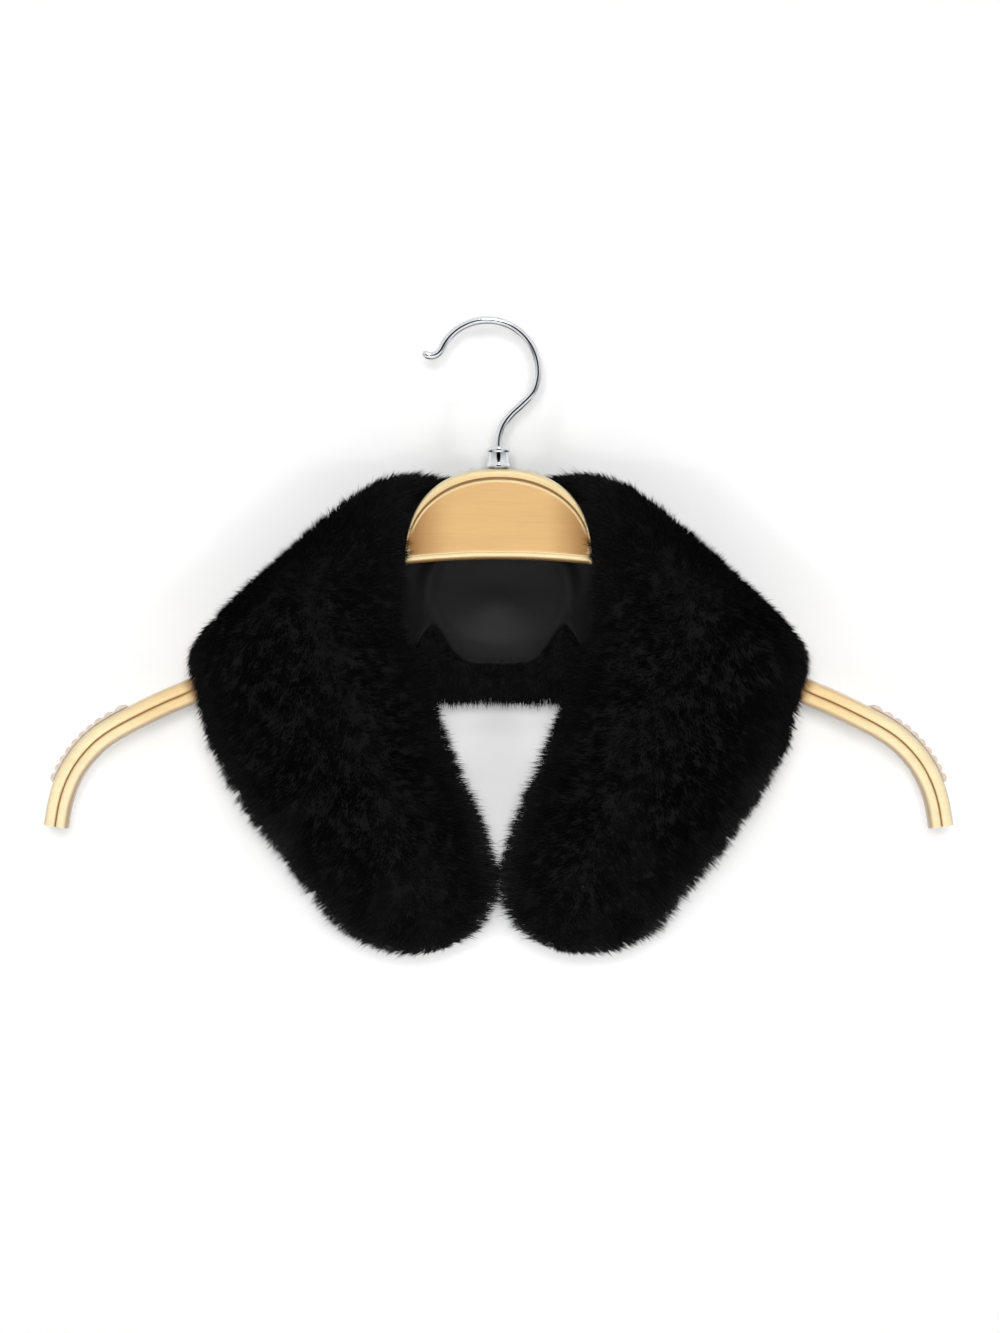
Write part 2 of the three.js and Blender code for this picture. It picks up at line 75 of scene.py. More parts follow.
def grid_faces(rows, columns, closed):
    """Four-sided faces over rows of points. closed joins each row's last point to its first."""
    faces = []
    for k in range(rows - 1):
        for i in range(columns if closed else columns - 1):
            j = (i + 1) % columns
            faces.append((k * columns + i, k * columns + j, (k + 1) * columns + j, (k + 1) * columns + i))
    return faces


def hold_numbers(mesh, numbers):
    """Named numbers for each point of a mesh, for its material."""
    for name, values in numbers.items():
        attribute = mesh.attributes.new(name, "FLOAT", "POINT")
        attribute.data.foreach_set("value", np.asarray(values, np.float32).ravel())


def ring_body(name, rings, material, replaced=(), values=None):
    """A closed body through rings of equal count, with a face over each end. values holds named numbers,
    one for each point of the rings, for the material."""
    rings = np.asarray(rings)
    count, around = rings.shape[:2]
    faces = grid_faces(count, around, True)
    faces.append(tuple(range(around))[::-1])
    faces.append(tuple(range((count - 1) * around, count * around)))
    piece = plain_mesh(name, rings.reshape(-1, 3), faces, material, replaced)
    turn_outward(piece.data)
    hold_numbers(piece.data, values or {})
    return piece


def turn_outward(mesh):
    """Flips a closed mesh whose faces point in."""
    mesh.calc_loop_triangles()
    points = np.empty(len(mesh.vertices) * 3)
    mesh.vertices.foreach_get("co", points)
    corners = np.empty(len(mesh.loop_triangles) * 3, dtype=np.int32)
    mesh.loop_triangles.foreach_get("vertices", corners)
    a, b, c = np.moveaxis(points.reshape(-1, 3)[corners.reshape(-1, 3)], 1, 0)
    if np.einsum("ij,ij->", a, np.cross(b, c)) < 0:
        mesh.flip_normals()


# The strip: its cut and how it folds over the hanger's arms

CUT_COLUMNS = ["neck_x", "neck_z", "outer_x", "outer_z", "neck_turn", "outer_turn", "full"]
CUT_ROWS = [
    [0, -82, 0, -178.6, 0.8, 3.6, 1],
    [12, -82, 40, -179, 0.6, 3.6, 1],
    [22, -82, 82, -177.6, 0.3, 3.2, 1],
    [29.7, -82, 129.4, -167.7, 0.2, 0.5, 1.08],
    [51.1, -82.8, 144.5, -163.1, 0.2, -2.6, 1.23],
    [71.9, -83.1, 159.3, -158.2, 0.3, 0, 1.08],
    [93.2, -79.1, 168, -155, 1, 0.6, 1],
    [114.4, -72.9, 178, -150.4, 1.5, 2, 1],
    [133.2, -62.8, 191, -142, 2.5, 2.5, 1],
    [150, -54.2, 204, -132, 3, 2.8, 1.02],
    [168, -46.4, 218, -119.5, 3, 3, 1.05],
    [186, -36.7, 231, -106, 3, 3, 1.06],
    [204, -25, 241.5, -94.6, 3, 3, 1.06],
    [221.2, -16.4, 250.2, -84, 3, 3, 1.05],
]
CUT = dict(zip(CUT_COLUMNS, np.array(CUT_ROWS, float).T))
LAST = len(CUT_ROWS) - 1
SEAM_ROW = 1.5
SEAM_GAP_ROWS = 0.018

FOLD_NECK = np.array([53, -102.0])
FOLD_SHOULDER = np.array([138.5, -175.5])
FOLD_RADIUS = 8.5
FOLD_RUN = (FOLD_SHOULDER - FOLD_NECK) / np.linalg.norm(FOLD_SHOULDER - FOLD_NECK)
FOLD_OUT = np.array([-FOLD_RUN[1], FOLD_RUN[0]])
FOLD_ARC = math.pi * FOLD_RADIUS

LINING = 1.0
FUR_DEPTH = 14.2
EDGE_PILE = 8.0
LINING_INSET_NECK = 6.0
LINING_INSET_OUTER = 11.0
FUR_WEDGE = {"row": 1.1, "inner_spread": 0.42, "outer_spread": 0.15, "rise": 21.0}
BOW = 5.0
BOW_REACH = 60.0
MAX_DROOP = 0.6
BACK_STANDOFF = 3.0
STANDOFF_REACH = 25.0
FRONT_LEAN = 4.5
LEAN_REACH = 180.0
END_LENGTH = 37.4
END_DRIFT = 7.2
END_TURN = math.radians(86)
LINING_END_HASTE = 1.6
MIN_LINING_SHARE = 0.12
ROUND_ACROSS = 0.62
ROUND_DEPTH = 0.72
EDGE_HEIGHT = 0.6
LIFTED_EDGE = 1.4


def soft_step(value):
    value = np.clip(value, 0, 1)
    return value * value * (3 - 2 * value)


def ramp(value, start, run):
    """A soft step from 0 at the start to 1 at the end of the run."""
    return soft_step((value - start) / run)


def through(a, b, c, d, t):
    """Points at share t of the way from b to c, on the curve through all four."""
    return b + 0.5 * t * (c - a + t * (2 * a - 5 * b + 4 * c - d + t * (3 * (b - c) + d - a)))


def column(name, row):
    """One column of the cut at fractional rows, on a curve through the rows. Before the first row the strip
    goes on mirrored."""
    values = CUT[name]
    mirror = -1 if name.endswith("_x") else 1
    index = np.minimum(row.astype(int), LAST - 1)
    t = row - index

    def at(i):
        return np.where(i < 0, mirror, 1) * values[np.minimum(np.abs(i), LAST)]

    return through(at(index - 1), at(index), at(index + 1), at(index + 2), t)


def fold_over(x, z, lift, bow):
    """Where points of the flat cut lie once the strip is folded over the arm. lift is the height off the
    face that touches the hanger."""
    along = (x - FOLD_NECK[0]) * FOLD_RUN[0] + (z - FOLD_NECK[1]) * FOLD_RUN[1]
    past = (x - FOLD_NECK[0]) * FOLD_OUT[0] + (z - FOLD_NECK[1]) * FOLD_OUT[1]
    clear = np.maximum(np.maximum(-past, past - FOLD_ARC), 0)
    radius = FOLD_RADIUS + lift + bow * soft_step(clear / BOW_REACH)
    turn = np.clip(past / FOLD_RADIUS, 0, math.pi)
    behind = radius + BACK_STANDOFF * soft_step(-past / STANDOFF_REACH)
    before = -radius + FRONT_LEAN * soft_step((past - FOLD_ARC) / LEAN_REACH)
    out = np.where(past < 0, past, np.where(past < FOLD_ARC, radius * np.sin(turn), FOLD_ARC - past))
    depth = np.where(past < 0, behind, np.where(past < FOLD_ARC, radius * np.cos(turn), before))
    folded_x = FOLD_NECK[0] + along * FOLD_RUN[0] + out * FOLD_OUT[0]
    folded_z = FOLD_NECK[1] + along * FOLD_RUN[1] + out * FOLD_OUT[1]
    return np.stack([folded_x, depth, folded_z], axis=-1)


def sections(place):
    """The strip's sections at places along it: row numbers, and past the last row a turn round the end."""
    row = np.minimum(place, LAST)
    turn = np.clip(place - LAST, 0, 1) * END_TURN
    neck = np.stack([column("neck_x", row), column("neck_z", row)], axis=-1)
    outer = np.stack([column("outer_x", row), column("outer_z", row)], axis=-1)
    width = np.linalg.norm(outer - neck, axis=-1)
    across = (outer - neck) / width[:, None]
    forward = np.stack([-across[:, 1], across[:, 0]], axis=-1)
    middle = (neck + outer) / 2 + np.sin(turn)[:, None] * (END_LENGTH * forward - END_DRIFT * across)
    shrink = np.cos(turn)
    share = np.maximum(np.cos(np.minimum(turn * LINING_END_HASTE, math.pi / 2)) / shrink, MIN_LINING_SHARE)
    half = width / 2 * shrink
    from_peak = row - FUR_WEDGE["row"]
    spread = np.where(from_peak < 0, FUR_WEDGE["inner_spread"], FUR_WEDGE["outer_spread"])
    gap = LINING_INSET_OUTER + FUR_WEDGE["rise"] * np.exp(-((from_peak / spread) ** 2))
    named = {
        "half": half,
        "reach": (width / 2 + EDGE_PILE) * shrink,
        "bow": BOW * shrink,
        "neck_turn": column("neck_turn", row) * shrink,
        "outer_turn": column("outer_turn", row) * shrink,
        "full": column("full", row) * np.sqrt(shrink),
        "lining_outer": (half - gap * share) * share,
        "lining_neck": -(half - LINING_INSET_NECK * share) * share,
    }
    return {"middle": middle, "across": across, **{key: value[:, None] for key, value in named.items()}}


def place_on(cross, offset, lift, side):
    """Points of sections: offset is the distance across from the middle."""
    spread = offset / cross["half"]
    x = cross["middle"][:, :1] + offset * cross["across"][:, :1]
    z = cross["middle"][:, 1:] + offset * cross["across"][:, 1:]
    bow = cross["bow"] * np.maximum(1 - spread * spread, -MAX_DROOP)
    points = fold_over(x, z, lift, bow)
    points[..., 0] *= side
    return points


# How much farther the fringe stands out at the neck edge, by row: over the hanger's head, and where the two
# lapels touch.
NECK_FRINGE = [
    # row, extra reach
    [0, 3.4], [2.4, 3.8], [3.4, 5], [4.4, 5.4], [5.6, 4.6], [6.3, 0], [6.9, -2], [7.35, -4], [7.8, 0],
    [8.2, 2.5], [8.9, 0], [9.4, 0], [10.6, 2.6], [13, 3],
]
# The reach that strands cross with no undercoat under them.
BARE_FRINGE = 2.2
# How far the tips lean over the lining's edge, and how proud of it they stand.
LINING_FRINGE = 2.2
LINING_FRINGE_LIFT = -0.9
PILE_SPANS = 36
TURNED_SPANS = 7
BED_SPANS = 10
# Where the turned-in fur hangs lowest, as a share of its way.
TURN_LOWEST = 0.55
# How an inset shell tapers near the ends, and how far it stays above the pile's lower side, in insets.
SHELL_TAPER = 3
SHELL_LOW = 0.25
SHELL_TURNED = 0.6


def pile_rings(place, side, inset=0.0):
    """The pile's surface as closed rings, or a shell that lies inset below it. The pile comes first in each
    ring, then the turned-in fur at the outer edge, the bed that holds the lining, and the neck edge."""
    cross = sections(place)
    bed = LINING + SEAM
    reach = cross["reach"] - inset * np.minimum(1, cross["reach"] / (SHELL_TAPER * inset + 1e-6))
    fringe = np.interp(place, *np.transpose(NECK_FRINGE))[:, None]
    if inset:
        fringe = np.minimum(fringe, 0) + np.maximum(fringe - BARE_FRINGE, 0)
    neck_reach = reach + fringe * cross["reach"] / cross["reach"].max()

    def edge(turn):
        return np.maximum(bed * EDGE_HEIGHT, -LIFTED_EDGE * turn)

    angle = np.linspace(0, math.pi, PILE_SPANS + 1)[None, :]
    cos = np.cos(angle)
    low = np.where(cos > 0, edge(cross["neck_turn"]), edge(cross["outer_turn"])) + SHELL_LOW * inset
    crown = FUR_DEPTH * cross["full"] + bed - inset
    pile_offset = -np.where(cos > 0, neck_reach, reach) * np.sign(cos) * np.abs(cos) ** ROUND_ACROSS
    pile_lift = low + (crown - low) * np.sin(angle) ** ROUND_DEPTH

    def turned_in(sign, side_reach, turn, lining_edge):
        share = np.linspace(0, 1, TURNED_SPANS + 1)[None, 1:]
        over = 0.0 if inset else LINING_FRINGE + SEAM
        span = side_reach - np.abs(lining_edge) - SEAM + over
        first, dip, bottom = edge(turn), -turn, bed if inset else LINING_FRINGE_LIFT
        down = first + (dip - first) * soft_step(share / TURN_LOWEST)
        up = dip + (bottom - dip) * ramp(share, TURN_LOWEST, 1 - TURN_LOWEST)
        shell = SHELL_TURNED * inset * np.sin(math.pi * share) ** 0.5
        return sign * (side_reach - share * span), np.where(share < TURN_LOWEST, down, up) + shell

    outer_offset, outer_lift = turned_in(1, reach, cross["outer_turn"], cross["lining_outer"])
    neck_offset, neck_lift = turned_in(-1, neck_reach, cross["neck_turn"], cross["lining_neck"])
    bed_share = np.linspace(0, 1, BED_SPANS + 1)[None, 1:-1]
    bed_offset = cross["lining_outer"] + (cross["lining_neck"] - cross["lining_outer"]) * bed_share
    # The neck edge runs the other way, from the bed out. Its last point would repeat the pile's first.
    offsets = [pile_offset, outer_offset, bed_offset, neck_offset[:, -1:0:-1]]
    lifts = [pile_lift, outer_lift, bed + 0 * bed_offset, neck_lift[:, -1:0:-1]]
    return place_on(cross, np.concatenate(offsets, axis=1), np.concatenate(lifts, axis=1), side)


# Node groups that several finishes share

def new_group(name, inputs, outputs):
    """A shader node group of numbers, with named inputs and their defaults, and named outputs."""
    group = bpy.data.node_groups.new(name, "ShaderNodeTree")
    for label, default in inputs.items():
        socket = group.interface.new_socket(label, in_out="INPUT", socket_type="NodeSocketFloat")
        socket.default_value = default
    for label in outputs:
        group.interface.new_socket(label, in_out="OUTPUT", socket_type="NodeSocketFloat")
    entry = group.nodes.new("NodeGroupInput")
    leave = group.nodes.new("NodeGroupOutput")
    return group, entry, leave


def node(tree, kind, links=(), **settings):
    """A node with its settings, and its inputs linked or set: links maps an input to a socket or a value."""
    made = tree.nodes.new(kind)
    for key, value in settings.items():
        setattr(made, key, value)
    for key, value in dict(links).items():
        if isinstance(value, bpy.types.NodeSocket):
            tree.links.new(value, made.inputs[key])
        else:
            made.inputs[key].default_value = value
    return made


# The scale of the grain's broad bands, as a share of its fine lines' scale.
BROAD_GRAIN = 0.16


def calculated(tree, operation, *values):
    """The result of one step of arithmetic on sockets and numbers."""
    return node(tree, "ShaderNodeMath", dict(enumerate(values)), operation=operation).outputs[0]


def mapped(tree, value, low, high, start=0.0, end=1.0, kind="LINEAR"):
    """A value that goes from low to high while the given one goes from start to end."""
    inputs = {"Value": value, "From Min": start, "From Max": end, "To Min": low, "To Max": high}
    return node(tree, "ShaderNodeMapRange", inputs, interpolation_type=kind).outputs[0]


def object_place(tree):
    return node(tree, "ShaderNodeTexCoord").outputs["Object"]


def noise(tree, place, scale, detail, distortion=0.0):
    inputs = {"Vector": place, "Scale": scale, "Detail": detail, "Distortion": distortion}
    return node(tree, "ShaderNodeTexNoise", inputs).outputs[0]


def stretched_grain_group():
    """Fine grain that runs along X: a mask and a height, from noise stretched along the grain."""
    inputs = {"Scale": 400.0, "Stretch": 20.0, "Waver": 0.1}
    group, entry, leave = new_group("stretched grain", inputs, ["Mask", "Height"])
    squeeze = calculated(group, "DIVIDE", 1.0, entry.outputs["Stretch"])
    factor = node(group, "ShaderNodeCombineXYZ", {"X": squeeze, "Y": 1.0, "Z": 1.0}).outputs[0]
    stretched = {0: object_place(group), 1: factor}
    along = node(group, "ShaderNodeVectorMath", stretched, operation="MULTIPLY").outputs[0]
    fine = noise(group, along, entry.outputs["Scale"], 6.0, 0.4)
    broad_scale = calculated(group, "MULTIPLY", entry.outputs["Scale"], BROAD_GRAIN)
    broad = noise(group, along, broad_scale, 3.0, entry.outputs["Waver"])
    mask = calculated(group, "MULTIPLY", calculated(group, "ADD", fine, broad), 0.5)
    group.links.new(mask, leave.inputs["Mask"])
    group.links.new(fine, leave.inputs["Height"])
    return group


def worn_edge_group():
    """A mask that is 1 on sharp outer edges and 0 on flats, broken up by noise."""
    inputs = {"Low": 0.5, "High": 0.6, "Scale": 300.0}
    group, entry, leave = new_group("worn edge", inputs, ["Mask"])
    sharp = node(group, "ShaderNodeNewGeometry").outputs["Pointiness"]
    sharp = mapped(group, sharp, 0.0, 1.0, entry.outputs["Low"], entry.outputs["High"])
    uneven = noise(group, object_place(group), entry.outputs["Scale"], 3.0)
    group.links.new(calculated(group, "MULTIPLY", sharp, uneven), leave.inputs["Mask"])
    return group


GRAIN = stretched_grain_group()
WORN_EDGE = worn_edge_group()


def new_material(name):
    material = bpy.data.materials.new(name)
    material.use_nodes = True
    tree = material.node_tree
    return material, tree, tree.nodes["Principled BSDF"]


def use_group(tree, group, **values):
    """A node group in a material, with its own values."""
    return node(tree, "ShaderNodeGroup", values, node_tree=group)


def mix_colors(tree, factor, first, second):
    """The first colour at factor 0 and the second at 1. A mix node has its colours in sockets 6, 7 and 2."""
    return node(tree, "ShaderNodeMix", {0: factor, 6: first, 7: second}, data_type="RGBA").outputs[2]


def scaled(tree, color, factor):
    return node(tree, "ShaderNodeVectorMath", {0: color, "Scale": factor}, operation="SCALE").outputs[0]


def attribute(tree, name):
    """A number that the mesh holds for each point."""
    return node(tree, "ShaderNodeAttribute", attribute_name=name).outputs["Fac"]


def bumped(tree, height, distance, strength):
    inputs = {"Height": height, "Distance": distance, "Strength": strength}
    return node(tree, "ShaderNodeBump", inputs).outputs[0]


def feed(tree, shader, inputs):
    """Links the inputs of a shader that change over the surface."""
    for name, socket in inputs.items():
        tree.links.new(socket, shader.inputs[name])


def linear(red, green, blue):
    """A colour as a picture shows it, 0 to 255, in the light values that a shader takes."""
    shown = np.array([red, green, blue]) / 255
    light = np.where(shown <= 0.04045, shown / 12.92, ((shown + 0.055) / 1.055) ** 2.4)
    return (*light.tolist(), 1.0)


# Finishes

PLUSH_ROOT, PLUSH_TIP = (0.0032, 0.0032, 0.0032, 1), (0.004, 0.004, 0.0041, 1)
# The undercoat's colours are lighter than the strands', painted light that lifts the shade in the gaps
# between tufts.
UNDERCOAT_DARK, UNDERCOAT_LIGHT = (0.0062, 0.0062, 0.0062, 1), (0.0085, 0.0085, 0.0086, 1)


def plush_material():
    """Black plush pile: darker at the root, a little lighter at the tip, and tufts whose colour is scaled by
    an uneven tone and by painted light.
    """
    material, tree, shader = new_material("black plush pile")
    tone_and_painted_light = attribute(tree, "tone_and_painted_light")
    along = mix_colors(tree, attribute(tree, "tip"), PLUSH_ROOT, PLUSH_TIP)
    # The tuft value scales the colour: an uneven tone and painted light.
    changing = {
        "Base Color": scaled(tree, along, tone_and_painted_light),
        "Specular IOR Level": calculated(tree, "MULTIPLY", tone_and_painted_light, 0.012),
        "Roughness": mapped(tree, tone_and_painted_light, 0.62, 0.45, end=3.0),
    }
    feed(tree, shader, changing)
    shader.inputs["Sheen Weight"].default_value = 0.008
    shader.inputs["Sheen Roughness"].default_value = 0.5
    return material


def undercoat_material():
    """The dense black undercoat that shows between the tufts, painted lighter than the strands as painted
    light that lifts the shade in the gaps.
    """
    material, tree, shader = new_material("black undercoat")
    uneven = noise(tree, object_place(tree), 700.0, 4.0)
    color = mix_colors(tree, uneven, UNDERCOAT_DARK, UNDERCOAT_LIGHT)
    feed(tree, shader, {"Base Color": color, "Normal": bumped(tree, uneven, 0.001, 0.8)})
    shader.inputs["Roughness"].default_value = 0.9
    shader.inputs["Specular IOR Level"].default_value = 0.02
    return material


def satin_material():
    """Dark grey satin: fine threads across the strip, soft sheen and a slightly uneven gloss."""
    material, tree, shader = new_material("dark grey satin")
    threads = use_group(tree, GRAIN, Scale=2600.0, Stretch=14.0, Waver=0.2)
    cloud = noise(tree, object_place(tree), 28.0, 3.0)
    base = mix_colors(tree, cloud, linear(17, 17, 19), linear(25, 25, 27))
    changing = {
        "Base Color": mix_colors(tree, threads.outputs["Mask"], linear(14, 14, 15), base),
        "Roughness": mapped(tree, cloud, 0.36, 0.5),
        "Normal": bumped(tree, threads.outputs["Height"], 0.00008, 0.5),
    }
    feed(tree, shader, changing)
    shader.inputs["Specular IOR Level"].default_value = 0.17
    shader.inputs["Sheen Weight"].default_value = 0.03
    shader.inputs["Sheen Roughness"].default_value = 0.35
    return material


# Where the painted shade deepens towards the head's sides and the rim turns palest on the arms, in metres
# from the middle.
PAINTED_SIDE_SHADE = (0.02, 0.05)
FAR_OUT = (0.155, 0.205)


def golden_wood_material(name, face, rim, far_rim, side_shade_color):
    """Light golden wood under a clear lacquer: a plain face, which on the arms is painted shade, a paler rim
    that is palest far out and is a painted highlight on the head, painted shade in the groove, and painted
    shade that deepens towards the face's sides."""
    material, tree, shader = new_material(name)
    grain = use_group(tree, GRAIN, Scale=900.0, Stretch=16.0, Waver=0.6)
    contrast = mapped(tree, grain.outputs["Mask"], 0.9, 1.06, 0.3, 0.7)
    split = node(tree, "ShaderNodeSeparateXYZ", {0: object_place(tree)})
    away = calculated(tree, "ABSOLUTE", split.outputs["X"])
    # Painted shade that darkens the head's face towards its sides.
    side_shade = mapped(tree, away, 0.0, 1.0, *PAINTED_SIDE_SHADE, kind="SMOOTHSTEP")
    far = mapped(tree, away, 0.0, 1.0, *FAR_OUT, kind="SMOOTHSTEP")
    rim_color = mix_colors(tree, far, rim, far_rim)
    color = mix_colors(tree, side_shade, face, side_shade_color)
    color = mix_colors(tree, attribute(tree, "rim"), color, rim_color)
    edge = use_group(tree, WORN_EDGE, Low=0.51, High=0.6, Scale=260.0)
    color = mix_colors(tree, edge.outputs["Mask"], scaled(tree, color, contrast), rim_color)
    changing = {
        # The painted shade: dark brown in the groove, under the lip and where the arm meets the fur.
        "Base Color": mix_colors(tree, attribute(tree, "painted_shade"), color, linear(124, 88, 40)),
        "Roughness": mapped(tree, grain.outputs["Mask"], 0.45, 0.33),
        "Normal": bumped(tree, grain.outputs["Height"], 0.0001, 0.3),
    }
    feed(tree, shader, changing)
    shader.inputs["Coat Weight"].default_value = 0.25
    shader.inputs["Coat Roughness"].default_value = 0.15
    return material


def chrome_material():
    """Polished chrome plate with faint hairlines and a duller patch here and there."""
    material, tree, shader = new_material("polished chrome")
    dull = noise(tree, object_place(tree), 240.0, 5.0)
    hairlines = use_group(tree, GRAIN, Scale=3200.0, Stretch=30.0, Waver=0.0)
    changing = {
        "Base Color": mix_colors(tree, dull, linear(205, 207, 211), linear(232, 233, 236)),
        "Roughness": mapped(tree, dull, 0.05, 0.16),
        "Normal": bumped(tree, hairlines.outputs["Height"], 0.00002, 0.3),
    }
    feed(tree, shader, changing)
    shader.inputs["Metallic"].default_value = 1.0
    return material


def clear_rubber_material():
    """Milky clear rubber, slightly pink, worn matt on the ribs."""
    material, tree, shader = new_material("clear rubber")
    milky = noise(tree, object_place(tree), 420.0, 4.0)
    worn = use_group(tree, WORN_EDGE, Low=0.5, High=0.62, Scale=500.0)
    color = mix_colors(tree, milky, linear(196, 178, 164), linear(222, 206, 194))
    color = mix_colors(tree, worn.outputs["Mask"], color, linear(232, 220, 210))
    feed(tree, shader, {"Base Color": color, "Roughness": mapped(tree, milky, 0.35, 0.55)})
    shader.inputs["Subsurface Weight"].default_value = 0.35
    shader.inputs["Subsurface Radius"].default_value = (0.004, 0.003, 0.002)
    return material


def wall_material():
    """Plain white wall, seen from its front only."""
    material, tree, shader = new_material("plain white wall")
    shader.inputs["Base Color"].default_value = (0.93, 0.93, 0.93, 1)
    shader.inputs["Roughness"].default_value = 0.9
    shader.inputs["Specular IOR Level"].default_value = 0.0
    clear = node(tree, "ShaderNodeBsdfTransparent").outputs[0]
    behind = node(tree, "ShaderNodeNewGeometry").outputs["Backfacing"]
    mix = node(tree, "ShaderNodeMixShader", {0: behind, 1: shader.outputs[0], 2: clear})
    tree.links.new(mix.outputs[0], tree.nodes["Material Output"].inputs["Surface"])
    return material


# Plush pile

BACK_STRANDS, SHOULDER_STRANDS, FRONT_STRANDS = 15000, 48000, 66000
STRANDS_PER_TUFT = 8
TUFT_RADIUS = 2.3
TUFT_GATHER = 0.8
STRAND_WIDTH = 0.46
SHELL_INSET = 4.0
NAP = 0.45
FLAT_SCATTER = 0.2
TUFT_SPREAD = 0.12
STRAND_SPREAD = 0.1
GUARD_HAIRS = 0.12
GUARD_LENGTH = 1.34
GUARD_WIDTH = 0.6
# How far the tufts reach past the pile's surface, how much they differ, and how deep their strands start.
OVERREACH = 0.5
LENGTH_SPREAD = 0.08
ROOT_DEPTH = 0.8
# The size of the patches that lean to one side, and how far they lean.
BRUSHED_PATCH = 22
BRUSHED_LEAN = 0.5
# How much shorter the shortest strands are, and where a strand bends and how far it bends out.
SHORTENED = 0.22
BEND_AT = 0.52
BEND_OUT = 0.08
BEND_WIDTH = 0.8
# The size of the patches of painted light, and the heights where the painted light on the fronts, the ends
# and the shoulders begins, with the run over which it grows.
PAINTED_LIGHT_PATCH = 16
FRONTS = (185, 70)
ENDS = (235, 45)
SHOULDERS = (-150, 35)
# How light the tufts are: the least value and an uneven tone for all of them, and the painted light that the
# edge, the patches, the ends and the shoulders add.
TUFT_TONE_AND_PAINTED_LIGHT = {"least": 0.34, "uneven": 0.06, "outward": 0.4, "edge": 0.8, "patch": 0.15}
PAINTED_LIGHT_AT = {"end": 0.5, "shoulder": 0.55}
MORE_PAINTED_LIGHT_ON_FRONTS = {"edge": 1.5, "patch": 1.2}
# How far the undercoat comes out past the strands' feet.
UNDERCOAT_RAISED = 0.6


def unit(vectors):
    return vectors / np.maximum(np.linalg.norm(vectors, axis=-1, keepdims=True), 1e-9)


def scatter(points, keep, count, rng):
    """Random places on a grid of points, spread by area, as fractional row and column."""
    along = points[1:, :-1] - points[:-1, :-1]
    across = points[:-1, 1:] - points[:-1, :-1]
    area = np.linalg.norm(np.cross(along, across), axis=2) * keep[None, :]
    cell = rng.choice(area.size, count, p=area.ravel() / area.sum())
    row, col = np.divmod(cell, area.shape[1])
    return row + rng.random(count), col + rng.random(count)


def sample(points, row, col):
    """Points of a grid at fractional rows and columns."""
    k, i = row.astype(int), col.astype(int)
    s, t = (row - k)[:, None], (col - i)[:, None]
    near = points[k, i] * (1 - t) + points[k, i + 1] * t
    far = points[k + 1, i] * (1 - t) + points[k + 1, i + 1] * t
    return near * (1 - s) + far * s


def edge_shares(place, columns):
    """How near each point of the pile's rings is to the strip's edge or end: 0 in the middle, 1 there."""
    angle = np.linspace(0, math.pi, PILE_SPANS + 1)
    across = np.ones(columns)
    across[: PILE_SPANS + 1] = np.abs(np.cos(angle))
    onward = np.sin(np.clip(place - LAST, 0, 1) * END_TURN)
    return np.maximum(across[None, :], onward[:, None])


def patches(points, size, rng):
    """A soft uneven value between 0 and 1 for each point, in patches of about one size."""
    total = np.zeros(len(points))
    for _ in range(6):
        total += np.sin(points @ (rng.normal(size=3) * 2.4 / size) + rng.random() * 6.28)
    return 0.5 + 0.5 * np.tanh(total / 2)


